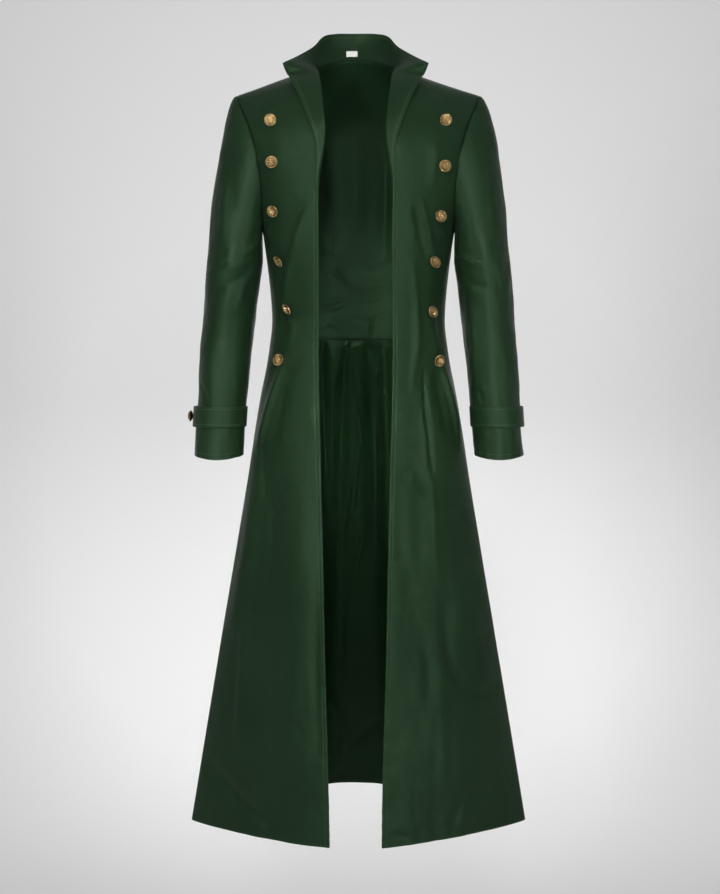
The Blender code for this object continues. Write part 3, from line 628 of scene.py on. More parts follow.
def sewn_rows(name, lines, material, pitch=STITCH_PITCH, length=STITCH_LENGTH):
    """One mesh of the thread that shows in rows of stitches, each a small bent capsule on the cloth."""
    stitches = []
    turns = np.linspace(0, 2 * math.pi, THREAD_SIDES, endpoint=False)
    for line, ways in lines:
        run = run_of(line)
        at = np.arange(pitch / 2, run[-1] - length / 2, pitch)
        rings = []
        for along, lift, fat in STITCH_RINGS:
            place = at + along * length
            here, out = at_run(place, run, line), unit(at_run(place, run, ways))
            ahead = at_run(place + LOOK_AHEAD, run, line) - here
            ahead += out * 1e-9 + np.roll(ahead, 1, axis=0) * 1e-3
            across = unit(np.cross(ahead, out))
            here = here + out * lift * THREAD_RADIUS
            ring = [here + (out * math.sin(t) + across * math.cos(t)) * THREAD_RADIUS * fat for t in turns]
            rings.append(np.stack(ring, axis=1))
        stitches.append(np.stack(rings, axis=1).reshape(len(at), -1, 3))
    points = np.concatenate(stitches)
    size = points.shape[1]
    capsule = [
        (k, k + THREAD_SIDES, k + THREAD_SIDES + step, k + step)
        for k in range(size - THREAD_SIDES) for step in [1 - THREAD_SIDES * ((k + 1) % THREAD_SIDES == 0)]
    ] + [range(THREAD_SIDES), range(size - 1, size - 1 - THREAD_SIDES, -1)]
    mesh = bpy.data.meshes.new(name)
    faces = [[base + k for k in face] for base in range(0, size * len(points), size) for face in capsule]
    mesh.from_pydata(points.reshape(-1, 3).tolist(), [], faces)
    work = bmesh.new()
    work.from_mesh(mesh)
    bmesh.ops.recalc_face_normals(work, faces=work.faces)
    work.to_mesh(mesh)
    work.free()
    mesh.shade_smooth()
    return dressed(linked(name, mesh), material, "coat_cloth")


def thread_material(name, colour):
    """Sewing thread: twisted, with a slight shine."""
    look = Look(name)
    twist = look.noise(look.node("TexCoord", out="Object"), 2600.0, 2.0)
    return look.shader({
        "Base Color": look.mix(twist, rgb(colour), rgb(colour, 1.7)),
        "Normal": look.bump(twist, 0.5, 0.0001),
        "Roughness": 0.5,
    })


# The thread is the cloth's green, and its extra lightness is painted highlight standing in for the glints
# along the stitched edges
green_thread = thread_material("green_thread", (0.04, 0.085, 0.044))
panels = {}
# The flat cuts in this file are the panels unrolled: their longest width and length, and the area between
for side, edge, sewn, creases, flat, flat_area in (
    ("left", "start", "end top", LEFT_FRONT_CREASES, (0.32, 1.435), 0.282),
    ("right", "end", "start top", RIGHT_FRONT_CREASES, (0.312, 1.434), 0.273),
):
    name = "front_" + side
    grid = front_grid() if side == "left" else mirrored(front_grid())
    panel = puckered(Panel(draped_body(settled(grid), creases, sewn), sewn=sewn), edge, BREAK_HEIGHT)
    panels[name] = panel
    piece = dressed(wall(name + "_cloth", panel), green_twill, "coat_cloth", name)
    line, ways = inset_line(panel, edge, STITCH_INSET)
    low = line[:, 2] < BREAK_HEIGHT - 0.004
    stitches = sewn_rows(name + "_stitches", [(line[low], ways[low])], green_thread)

# The back bodice, seen from inside through the open front: one piece from the neck and shoulders to the
# waist, of the same twill, sewn to the fronts at its sides and to the skirt below.
NECK_STEPS = 24
BACK_ARMHOLE_STEPS = 72
BACK_NECK_RISE = 0.0245


def back_neck_line():
    """The back neck seam from the centre to the shoulder seam."""
    x = NECK_HALF_WIDTH * np.sin(np.linspace(0, math.pi / 2, 300))
    z = BACK_NECK_RISE * (1 - (x / NECK_HALF_WIDTH) ** 2)
    return laid(on_body(x, z, "back"), NECK_STEPS)


def back_grid():
    """The back bodice's outer face: rows from the top to the waist, columns from the left to the right."""
    top = np.concatenate([back_neck_line(), shoulder_line()[1:]])
    side = armhole_line("back", BACK_ARMHOLE_STEPS)
    count = len(top) - 1 - 2 * len(SEWN)
    low = laid(section_line(UNDERARM, "back", 0.0), count)
    columns = np.linspace(0, 1, len(top))
    rows = [top]
    for step in range(1, len(side)):
        outer, down = side[step], step / (len(side) - 1)
        ratio = top[:, 0] / top[-1, 0] * (1 - down) + low[:, 0] / low[-1, 0] * down
        side_down = (outer[2] - top[-1, 2]) / (UNDERARM - top[-1, 2])
        fall = down + (side_down - down) * columns**2
        x, z = outer[0] * ratio, top[:, 2] + (UNDERARM - top[:, 2]) * fall
        row = on_body(x, z, "back")
        row[-1] = outer
        rows.append(row)
    for z in BODICE_LEVELS[1:]:
        rows.append(laid(section_line(z, "back", 0.0), count))
    half = np.array(rows)
    return np.concatenate([half[:, ::-1], (half * [-1, 1, 1])[:, 1:]], axis=1)


BODICE_CREASES = (
    (-3.6, 3, 0, -57, -350, -38, -367, -21, -387),
    (2.7, 3, 0, -44, -345, -29, -358, -14, -376),
    (3.2, 2.5, 0, -72, -419, -49, -413, -27, -409),
    (-3.6, 3, 0, -70, -433, -44, -426, -23, -415),
    (-2.5, 4, 0, -31, -382, 12, -398, 64, -385),
    (-2.2, 4, 0, -16, -411, 25, -411, 66, -396),
    (2.5, 4, 0, -18, -445, 27, -452, 55, -432),
    (-2.7, 4, 0, -70, -465, -53, -452, -31, -469),
    (2.3, 3, 0, 27, -433, 25, -458, 23, -482),
    (2, 4, 0, -46, -271, -44, -304, -46, -341),
    (-4, 20, 0, -7, -88, -5, -208, -5, -337),
    (4, 12, 0, -60, -88, -62, -208, -62, -337),
    (4, 10, 0, 49, -125, 49, -235, 47, -346),
    (-2, 5, 0, -68, -319, -53, -330, -33, -334),
    (-2, 6, 0, 6, -341, 36, -352, 62, -341),
    (5, 12, 0, 75, -150, 105, -240, 125, -330),
    (4.3, 12, 0, -80, -160, -108, -250, -120, -340),
    (-3.6, 6, 0, 90, -440, 115, -450, 140, -430),
    (-3.6, 6, 0, -85, -430, -110, -450, -140, -440),
)
panels["back_bodice"] = Panel(
    draped_body(settled(back_grid()), BODICE_CREASES, "bottom start end"), sewn="top bottom start end"
)
piece = dressed(wall("back_bodice_cloth", panels["back_bodice"]), green_twill, "coat_cloth", "back_bodice")

# The back skirt, of the same twill, laid in pleats where it is sewn to the bodice, which open out towards
# the hem. Its inside shows between the fronts.
PLEATS = table(
    "height depth half_width",
    (WAIST_SEAM, 0.0015, 0.14), (-0.505, 0.005, 0.16), (-0.56, 0.012, 0.2), (-0.7, 0.015, 0.27),
    (-1.0, 0.011, 0.33), (HEM, 0.008, 0.36),
)
PLEAT_COUNT = 8
PLEAT_SHIFT = 0.49
PLEATED_SHARE = 0.8
SKIRT_COLUMNS = 250


def pleat_out(along, z):
    """How far the back skirt stands out at a place along the back, from -1 at one side seam to 1."""
    phase = along * PLEAT_COUNT / 2 / PLEATED_SHARE + PLEAT_SHIFT
    off = phase - np.round(phase)
    fade = ease((1 - np.abs(along)) / (1 - PLEATED_SHARE))
    return smooth(PLEATS, "depth", z) * np.exp(-((off / smooth(PLEATS, "half_width", z)) ** 2)) * fade


def back_skirt_grid():
    rows = []
    for z in SKIRT_LEVELS:
        half = section_line(z, "back", 0.0)
        line = np.concatenate([half[::-1], (half * [-1, 1, 1])[1:]])
        run = run_of(line)
        across, back, _ = np.gradient(line, axis=0).T
        out = unit(np.stack([back, -across, 0 * across], axis=1))
        line = line + out * pleat_out(1 - 2 * run / run[-1], z)[:, None]
        rows.append(laid(line, SKIRT_COLUMNS, run=run))
    return np.array(rows)


SKIRT_CREASES = (
    (-2.2, 3, 0, -47, -708, -29, -706, -12, -700),
    (-2.2, 2.5, 0, -45, -725, -30, -722, -12, -716),
    (1.9, 3, 0, -43, -737, -26, -735, -9, -729),
    (-1.9, 2.5, 0, -24, -727, -22, -751, -22, -778),
    (3, 3, 0.3, -49, -834, -20, -824, 8, -803),
    (-2.2, 4, 0, -1, -807, 10, -807, 20, -822),
    (-5.7, 4, 0.3, 14, -828, 5, -877, -9, -935),
    (3.2, 4, 0, -1, -666, -12, -751, -26, -848, -36, -917),
    (2.2, 4, 0, 8, -683, -1, -760, -7, -838),
    (-3.4, 8, 0, -15, -966, -25, -1128, -33, -1282),
    (-5.4, 9, 0, -64, -1179, -41, -1218, -25, -1272, -37, -1324, -61, -1351),
    (4.3, 10, 0, -13, -1288, 11, -1259, 50, -1230),
    (-5.4, 3, 0.4, 31, -577, 48, -585, 67, -601),
    (-3.5, 3.5, 0, 14, -485, 40, -489, 66, -504),
    (-3, 3, 0, -61, -484, -53, -504, -46, -526),
    (-2.7, 3, 0, 36, -504, 49, -515, 66, -530),
    (-2.4, 3, 0, 25, -545, 44, -556, 64, -560),
    (-2.2, 5, 0, -13, -1067, -11, -1168, -17, -1272),
    (1.9, 5, 0, -22, -571, -27, -579, -35, -585),
    (13, 9, 0, -62, -440, -62, -600, -60, -860),
    (-9, 24, 0, -16, -420, -20, -600, -22, -880),
    (16, 11, 0, 31, -440, 34, -620, 36, -950),
)
# The middle pleat is inverted: seen from inside, its two folded edges part like a leaf over its underlay
UNDERLAY = table(
    "height right_edge left_edge",
    (-0.491, -0.017, -0.016), (-0.508, -0.025, -0.014), (-0.526, -0.033, -0.0115),
    (-0.546, -0.039, -0.0085), (-0.588, -0.043, -0.0045), (-0.64, -0.0455, 0.001),
    (-0.69, -0.048, 0.007), (-0.73, -0.05, 0.01),
)
UNDERLAY_DEEP = 0.0062
UNDERLAY_FOLD = 0.0015
UNDERLAY_LOW, UNDERLAY_HIGH = -0.73, -0.488


def underlay_out(flat):
    """How far the middle pleat's underlay lies behind its folded edges."""
    x, z = flat[..., 0], flat[..., 1]
    past_right = ease((x - smooth(UNDERLAY, "right_edge", z)) / UNDERLAY_FOLD)
    past_left = ease((smooth(UNDERLAY, "left_edge", z) - x) / UNDERLAY_FOLD)
    fade = ease((z - UNDERLAY_LOW) / 0.13) * ease((UNDERLAY_HIGH - z) / 0.012)
    return UNDERLAY_DEEP * past_right * past_left * fade


grid = draped_body(settled(back_skirt_grid()), SKIRT_CREASES, "top start end")
grid = grid + body_way(grid) * underlay_out(grid[..., [0, 2]])[..., None]
panels["back_skirt"] = Panel(grid, sewn="top start end")
piece = dressed(wall("back_skirt_cloth", panels["back_skirt"]), green_twill, "coat_cloth", "back_skirt")

# The sleeves, set in at the armholes with a little fullness at the top, hang beside the body, bent slightly
# forward at the elbow. Their cuffs are turned up inside.
ARM = table(
    "height outer inner half_depth forward",
    (-0.3, 0.2675, 0.171, 0.068, 0.004), (-0.345, 0.272, 0.1738, 0.066, 0.006),
    (-0.378, 0.2748, 0.178, 0.064, 0.008), (-0.45, 0.28, 0.1865, 0.06, 0.012),
    (-0.522, 0.2845, 0.1938, 0.057, 0.018), (-0.594, 0.288, 0.2005, 0.054, 0.024),
    (-0.697, 0.294, 0.2068, 0.052, 0.032),
)
CUFF_END = -0.697
CUFF_RISE = 0.006
SLEEVE_LEVEL = -0.345
SLEEVE_CAP = np.concatenate([(0, 0.006, 0.018), np.linspace(0.04, 1, 40)])
SLEEVE_STEPS = 84
STRAP_TOP = -0.605
STRAP_BOTTOM = -0.64
CUFF_INSET = 0.008
ARM_RADIUS = 0.052
SLEEVE_HOLD = 0.03
SLEEVE_RIPPLES = ((3, 0.045, 2.2, 0.0034), (4, 0.018, 1.6, 0.0009))


def tube_point(turn, z):
    """The sleeve's outer face as a tube: turn is 0 on the outer side, 90 degrees in front, 180 inside."""
    outer, inner = smooth(ARM, "outer", z), smooth(ARM, "inner", z)
    x = (outer + inner) / 2 + (outer - inner) / 2 * np.cos(turn)
    y = -smooth(ARM, "forward", z) - smooth(ARM, "half_depth", z) * np.sin(turn)
    return np.stack([x, y, z * np.ones_like(x)], axis=-1)


def sleeve_grid():
    """The left sleeve's outer face, and the turn round the arm of each of its columns."""
    front = armhole_line("front", ROLL_STEPS + BREAK_STEPS)
    back = armhole_line("back", BACK_ARMHOLE_STEPS)[::-1]
    seam = np.concatenate([front, back[1:-1]])
    turns = np.concatenate([
        math.pi * run_of(front) / run_of(front)[-1], math.pi * (1 + run_of(back) / run_of(back)[-1])[1:-1],
    ])
    hanging = tube_point(turns, np.full_like(turns, SLEEVE_LEVEL))
    power = 1.5 + 0.5 * np.cos(turns)
    rings = []
    for share in SLEEVE_CAP:
        way = np.stack([np.full_like(turns, share), np.full_like(turns, share), share**power], axis=1)
        rings.append(seam + (hanging - seam) * way)
    for z in levels(SLEEVE_LEVEL, CUFF_END, SLEEVE_STEPS)[1:]:
        ring = tube_point(turns, np.full_like(turns, z))
        ring[:, 2] += CUFF_RISE * ease((STRAP_TOP - z) / (STRAP_TOP - CUFF_END)) * np.cos(turns) ** 2
        rings.append(ring)
    return np.array(rings)[:, ::-1], turns[::-1]


def draped_sleeve(grid, turns, creases):
    """A sleeve with its creases, whose paths give the turn round the arm in degrees for the place across."""
    way = unit((grid - grid.mean(axis=1, keepdims=True)) * [1, 1, 0])
    free = 1 - np.exp(-((distance(grid, fixed_lines) / SLEEVE_HOLD) ** 2))
    lift = sum(rippled(grid, size, long, seed) * height for seed, size, long, height in SLEEVE_RIPPLES)
    degree = math.radians(ARM_RADIUS)
    for whole in (-360, 0):
        round_arm = np.broadcast_to((turns + whole) * degree, grid.shape[:2])
        lift = lift + creased(np.stack([round_arm, grid[..., 2]], axis=-1), creases, (degree, 0.001))
    return grid + way * (lift * free)[..., None]


SLEEVE_CREASES = {
    "right": (
        (3, 8, 0, 48, -191, 51, -249, 66, -314),
        (-2.4, 6, 0, 6, -325, 68, -332, 94, -318),
        (2.4, 7, 0, 6, -371, 78, -363, 120, -349, 156, -333),
        (-2.4, 7, 0, 25, -399, 87, -390, 138, -364),
        (-1.5, 6, 0, 37, -458, 60, -478, 89, -485),
        (2.4, 5, 0, 167, -304, 128, -328, 99, -346),
        (1.8, 7, 0, 154, -348, 122, -389, 110, -437),
        (-2.4, 5, 0, 23, -557, 50, -582, 66, -601),
        (1.5, 6, 0, 110, -522, 125, -566, 135, -596),
    ),
    "left": (
        (2.7, 6, 0, 110, -95, 104, -116, 100, -140),
        (-2.4, 6, 0, 142, -148, 133, -173, 128, -201),
        (2, 6, 0, 172, -322, 123, -349, 90, -360),
        (-2, 7, 0, 160, -365, 117, -389, 77, -398),
        (-1.5, 7, 0, 71, -360, 67, -390, 66, -419),
        (-2, 5, 0, 134, -571, 127, -585, 121, -599),
        (1.7, 8, 0, 6, -321, 43, -398, 50, -472),
        (1.8, 7, 0, 133, -416, 133, -486, 144, -557),
    ),
}
# Both sleeves crease alike where they are not seen in front: across the back of the elbow and under the arm
SLEEVE_BACK_CREASES = (
    (1.8, 8, 0, 205, -300, 250, -330, 300, -345),
    (-1.8, 8, 0, 200, -345, 245, -372, 300, -380),
    (1.8, 9, 0, 210, -395, 255, -412, 315, -405),
    (-1.6, 8, 0, 215, -435, 260, -452, 310, -450),
    (1.2, 10, 0, 230, -480, 262, -540, 280, -600),
    (1.4, 12, 0, 300, -120, 290, -200, 275, -280),
)
for side, creases in SLEEVE_CREASES.items():
    grid, turns = sleeve_grid()
    if side == "right":
        grid, turns = mirrored(grid), turns[::-1]
    name = "sleeve_" + side
    grid = draped_sleeve(settled(grid), np.degrees(turns), creases + SLEEVE_BACK_CREASES)
    panels[name] = puckered(Panel(grid, wrap=True, sewn="top"), "bottom")
    piece = dressed(wall(name + "_cloth", panels[name]), green_twill, "coat_cloth", name)
    line, ways = inset_line(panels[name], "bottom", CUFF_INSET)
    stitches = sewn_rows(name + "_stitches", [(line, ways)], green_thread)

# The collar stands up round the neck and runs on into the lapels, one piece on each side that turns out
# along the roll line and ends in a sharp wing at the shoulder.
COLLAR_RIM = table(
    "share across back height",
    (0.0, 0.0, 0.08, 0.0745), (0.35, 0.038, 0.07, 0.072), (0.6, 0.06, 0.052, 0.0635),
    (0.8, 0.079, 0.024, 0.039), (0.9, 0.104, -0.013, 0.0175), (1.0, 0.128, -0.05, -0.0005),
)
LAPEL_EDGE = table(
    "share across height lift",
    (0.0, 0.128, -0.0005, 0.05), (0.12, 0.1155, -0.026, 0.028), (0.2, 0.106, -0.044, 0.016),
    (0.3, 0.0957, -0.0661, 0.008), (0.5, 0.082, -0.1038, 0.005), (0.66, 0.071, -0.1362, 0.005),
    (0.8, 0.067, -0.1657, 0.005), (1.0, 0.0675, -0.2215, 0.004),
)
# Shares of the way from the back's centre to the break, in steps: the shoulder seam, the wing's tip, the end
SIDE_STEP, TIP_STEP, END_STEP = 5.0, 7.0, 17.0
SIDE_SHARE = 0.8
COLLAR_BOW = 0.004
WING_CLEAR = 0.0026
WING_BOW = 0.0012
ROLL_FACING = (0.4, -1.0, 0.35)
ROLL_TOWARDS = (0.0, 0.0012, 0.0014, 0.0002)
ROLL_OUT = (0.0, 0.0004, 0.0018, 0.0026)
COLLAR_COARSE = 8
COLLAR_ROWS = 44
CLOSER_TO_SEAM = 1.35
COLLAR_SOFTENING = 5
NARROWEST_SEWN = 0.016


def collar_column(point, step):
    """The collar's outer face in section, from where it is sewn to its free edge."""
    if step <= TIP_STEP:
        share = np.interp(step, (0, SIDE_STEP, TIP_STEP), (0, SIDE_SHARE, 1))
        edge = np.array([smooth(COLLAR_RIM, name, share) for name in ("across", "back", "height")])
    else:
        share = (step - TIP_STEP) / (END_STEP - TIP_STEP)
        across, height, lift = (smooth(LAPEL_EDGE, name, share) for name in ("across", "height", "lift"))
        edge = np.array([across, body_y(across, height, "front") - lift, height])
    fold = ease((step - SIDE_STEP) / (TIP_STEP + 1 - SIDE_STEP))
    outward = unit(np.array([point[0] * ROLL_FACING[0], *ROLL_FACING[1:]]))
    column = []
    for row in range(COLLAR_COARSE + 1):
        t = row / COLLAR_COARSE
        upright = point + (edge - point) * t
        upright[1] += COLLAR_BOW * math.sin(math.pi * t) * (1 - fold)
        k = min(row, len(ROLL_OUT) - 1)
        turned = point + np.array([-ROLL_TOWARDS[k], 0, 0]) + outward * ROLL_OUT[k]
        if row >= len(ROLL_OUT):
            s = (row - len(ROLL_OUT) + 1) / (COLLAR_COARSE - len(ROLL_OUT) + 1)
            turned = turned + (edge - turned) * s
            clear = WING_CLEAR + WING_BOW * math.sin(math.pi * s)
            turned[1] = min(turned[1], body_y(turned[0], turned[2], "front") - clear)
        column.append(upright + (turned - upright) * fold)
    at = np.linspace(0, 1, COLLAR_ROWS + 1) ** CLOSER_TO_SEAM * COLLAR_COARSE
    return at_run(at, range(COLLAR_COARSE + 1), np.array(column))


def softened(grid, times):
    """The grid with its creases rounded, its sewn row and its free edge held."""
    grid = grid.copy()
    held = grid[[0, -1]]
    for _ in range(times):
        grid[1:-1] = (grid[:-2] + 2 * grid[1:-1] + grid[2:]) / 4
        grid[:, 1:-1] = (grid[:, :-2] + 2 * grid[:, 1:-1] + grid[:, 2:]) / 4
        grid[[0, -1]] = held
    return grid


def collar_grid():
    neck, roll = back_neck_line(), roll_line()
    base = np.concatenate([neck, roll[1:]])
    steps = np.concatenate([
        SIDE_STEP * run_of(neck) / run_of(neck)[-1],
        SIDE_STEP + (END_STEP - SIDE_STEP) * run_of(roll)[1:] / run_of(roll)[-1],
    ])
    steps[np.abs(steps - TIP_STEP).argmin()] = TIP_STEP
    half = np.array([collar_column(point, step) for point, step in zip(base, steps)]).transpose(1, 0, 2)
    return softened(np.concatenate([mirrored(half), half[:, 1:]], axis=1), COLLAR_SOFTENING)


panels["collar"] = Panel(settled(collar_grid()), sewn="top")
cloth = wall("collar_cloth", panels["collar"], edge_thick=0.0006, faced=True)
piece = dressed(cloth, green_twill, "coat_cloth", "collar")
line, ways = inset_line(panels["collar"], "bottom", STITCH_INSET, inside=True)
wide = panels["collar"].v[-1] > NARROWEST_SEWN
stitches = sewn_rows("collar_stitches", [(line[wide], ways[wide])], green_thread)

# A strap on each cuff, doubled and topstitched, is caught in the sleeve's inner seam, passes round the front
# and is held by its button on the outer side, its end standing a little proud.
STRAP_THICK = 0.0018
Strap = namedtuple("Strap", "side button_turn end_turn")
STRAPS = (Strap("right", -2.0, -22.0), Strap("left", -38.0, -58.0))
STRAP_START_TURN = 176.0
STRAP_CLOSE_TURN = 150.0
STRAP_STANDOFF = 0.0042
LAYER_GAP = 0.0006
STRAP_INSET = 0.0042
STRAP_ROWS = 16
STRAP_STEPS = 90


def strap_grid(strap):
    turns = np.radians(np.linspace(STRAP_START_TURN, strap.end_turn, STRAP_STEPS + 1))
    standoff = LAYER_GAP + STRAP_STANDOFF * ease(1 - np.degrees(turns) / STRAP_CLOSE_TURN)
    rows = []
    for z in np.linspace(STRAP_TOP, STRAP_BOTTOM, STRAP_ROWS + 1):
        ring = tube_point(turns, np.full_like(turns, z))
        away = unit((ring - (tube_point(0.0, z) + tube_point(math.pi, z)) / 2) * [1, 1, 0])
        rows.append(ring + away * (standoff + STRAP_THICK)[:, None])
    grid = np.array(rows)
    return mirrored(grid) if strap.side == "right" else grid


for strap in STRAPS:
    name = "cuff_strap_" + strap.side
    panels[name] = Panel(settled(strap_grid(strap)))
    cloth = wall(name + "_cloth", panels[name], STRAP_THICK, 0.0, faced=True)
    piece = dressed(cloth, green_twill, "coat_cloth", name)
    tip = "end" if strap.side == "left" else "start"
    rows = [inset_line(panels[name], edge, STRAP_INSET) for edge in ("top", "bottom", tip)]
    rows = [(line[3:-3], ways[3:-3]) for line, ways in rows]
    stitches = sewn_rows(name + "_stitches", rows, green_thread)

# A small blank label of white woven tape, its ends turned under, is sewn inside the collar.
LABEL_ACROSS = -0.012
LABEL_HALF_WIDTH = 0.01
LABEL_SHARES = (0.37, 0.15)
LABEL_THICK = 0.0006
LABEL_CLEAR = 0.0005
LABEL_BACK = 0.04
LABEL_ROWS, LABEL_COLUMNS = 10, 20
LABEL_INSET, LABEL_PITCH, LABEL_STITCH = 0.0013, 0.0022, 0.0015


def label_grid(collar):
    rows = []
    up = collar.v / collar.v[-1:]
    inside = collar.inner - collar.face_out * LABEL_CLEAR
    for share in np.linspace(*LABEL_SHARES, LABEL_ROWS + 1):
        line = np.array([at_run([share], up[:, c], inside[:, c])[0] for c in range(up.shape[1])])
        near = line[(np.abs(line[:, 0] - LABEL_ACROSS) < 3 * LABEL_HALF_WIDTH) & (line[:, 1] > LABEL_BACK)]
        near = near[np.argsort(near[:, 0])]
        x = LABEL_ACROSS + LABEL_HALF_WIDTH * np.linspace(-1, 1, LABEL_COLUMNS + 1)
        rows.append(at_run(x, near[:, 0], near))
    return np.array(rows) - [0, LABEL_THICK, 0]


look = Look("label_tape")
place = look.node("UVMap", uv_map="cloth")
across, down = (look.node("SeparateXYZ", {0: place}, out=axis) for axis in (0, 1))
weft, warp = (look.sum("SINE", look.sum("MULTIPLY", *way)) for way in ((across, 12000.0), (down, 9000.0)))
label_tape = look.shader({
    "Base Color": look.mix(look.noise(place, 260.0, 3.0), (0.9, 0.9, 0.88, 1), (0.78, 0.78, 0.75, 1)),
    "Normal": look.bump(look.sum("ADD", weft, warp), 0.4, 0.00008),
    "Roughness": 0.7,
})
panels["neck_label"] = Panel(label_grid(panels["collar"]))
tape = wall("neck_label_tape", panels["neck_label"], LABEL_THICK, 0.0)
piece = dressed(tape, label_tape, "label_tape", "neck_label")
white_thread = thread_material("white_thread", (0.42, 0.42, 0.4))
ends = [inset_line(panels["neck_label"], edge, LABEL_INSET) for edge in ("start", "end")]
stitches = sewn_rows("neck_label_stitches", ends, white_thread, LABEL_PITCH, LABEL_STITCH)

# The buttons are cast and gilt, with a rope rim and a flower in low relief, darkened in the hollows. Each is
# sewn on by its shank and hangs a little askew.
BUTTON_RADIUS = 0.0102
SHANK_LENGTH = 0.0028
DOME_RADIUS, DOME_RISE = 0.0089, 0.0043
ROPE_STRANDS = 22
PETALS = 6


def button_part(kind, recess, place=(0, 0, 0), scale=(1, 1, 1), turn=(0, 0, 0), **settings):
    """A primitive at its size and place, marked with how far it lies in the hollows of the relief."""
    getattr(bpy.ops.mesh, "primitive_" + kind + "_add")(location=place, rotation=turn, **settings)
    part = bpy.context.object
    part.scale = scale
    bpy.ops.object.transform_apply(location=True, rotation=True, scale=True)
    mark = part.data.attributes.new("recess", "FLOAT", "POINT")
    mark.data.foreach_set("value", [recess] * len(part.data.vertices))
    part.select_set(False)
    return part


def dome_height(r):
    return SHANK_LENGTH + 0.0009 + DOME_RISE * math.sqrt(max(0.0, 1 - (r / DOME_RADIUS) ** 2))


def button_form():
    base = SHANK_LENGTH + 0.0007
    parts = [
        button_part("cylinder", 1.0, (0, 0, base), vertices=40, radius=BUTTON_RADIUS * 0.96, depth=0.0013),
        button_part("uv_sphere", 1.0, (0, 0, SHANK_LENGTH + 0.0009), (DOME_RADIUS, DOME_RADIUS, DOME_RISE),
                    segments=40, ring_count=18, radius=1),
        button_part("torus", 0.25, (0, 0, dome_height(0.0069)), major_radius=0.0069, minor_radius=0.0003,
                    major_segments=40, minor_segments=6),
        button_part("uv_sphere", 0.0, (0, 0, dome_height(0) + 0.0001), (0.0016, 0.0016, 0.0011),
                    segments=12, ring_count=8, radius=1),
        button_part("torus", 0.5, (0, 0, 0.0013), turn=(math.pi / 2, 0, 0), major_radius=0.0015,
                    minor_radius=0.00045, major_segments=20, minor_segments=6),
    ]
    for k in range(ROPE_STRANDS):
        t = 2 * math.pi * k / ROPE_STRANDS
        place = (0.0094 * math.cos(t), 0.0094 * math.sin(t), base + 0.0007)
        parts.append(button_part(
            "uv_sphere", 0.1, place, (0.0016, 0.0009, 0.001), (0, 0, t + math.pi / 2 + 0.65),
            segments=8, ring_count=6, radius=1,
        ))
    for ring, shift, long, wide in ((0.0041, 0.0, 0.0023, 0.00115), (0.0058, 0.5, 0.001, 0.0007)):
        slope = math.atan2(dome_height(ring - 0.0005) - dome_height(ring + 0.0005), 0.001)
        for k in range(PETALS):
            t = 2 * math.pi * (k + shift) / PETALS
            place = (ring * math.cos(t), ring * math.sin(t), dome_height(ring))
            parts.append(button_part(
                "uv_sphere", 0.05, place, (long, wide, 0.0009), (0, slope, t), segments=12, ring_count=6,
                radius=1,
            ))
    for part in parts:
        part.select_set(True)
    bpy.context.view_layer.objects.active = parts[0]
    bpy.ops.object.join()
    form = bpy.context.object
    form.name = "button_form"
    form.data.shade_smooth()
    form.data.set_sharp_from_angle(angle=math.radians(40))
    form.select_set(False)
    return form


look = Look("antique_gold")
tarnish = look.noise(look.node("TexCoord", out="Object"), 380.0, 2.0)
recess = look.sum("MULTIPLY", look.node("Attribute", out="Fac", attribute_name="recess"), 0.75)
dark = look.sum("ADD", recess, look.sum("MULTIPLY_ADD", tarnish, 2.4, -1.05))
gilt = look.node("ValToRGB", {0: dark})
bright, worn = gilt.node.color_ramp.elements
bright.color, worn.color, worn.position = (1.0, 0.71, 0.33, 1), (0.018, 0.008, 0.003, 1), 0.78
antique_gold = look.shader({
    "Base Color": gilt,
    "Roughness": look.node("MapRange", {"Value": dark, 3: 0.2, 4: 0.5}),
    "Normal": look.bump(tarnish, 0.5, 0.0007),
    "Metallic": 1.0,
})

# How far each button turns aside and up, against straight ahead, where the photo shows that it hangs askew
FACING = {
    "front_button_right_1": (-0.05, 0.05), "front_button_right_2": (-0.05, 0.0),
    "front_button_right_3": (-0.55, -0.35), "front_button_right_4": (-1.5, -1.1),
    "front_button_right_5": (-1.6, -1.1), "front_button_right_6": (-0.55, 0.35),
    "front_button_left_1": (0.0, 0.05), "front_button_left_2": (0.05, 0.0),
    "front_button_left_3": (0.3, 0.15), "front_button_left_4": (0.6, 0.35),
    "front_button_left_5": (0.9, 0.2), "front_button_left_6": (0.6, -0.2),
}
MOST_ASKEW = math.radians(32)
SHANK_THREAD_RADIUS = 0.0009
SEAT_RISE = 0.0009
SEAT_TRIES = 6
THREAD_ROOT = 0.0003
CLOTH_REACH = 0.009
BUTTON_CLEAR = 0.0004
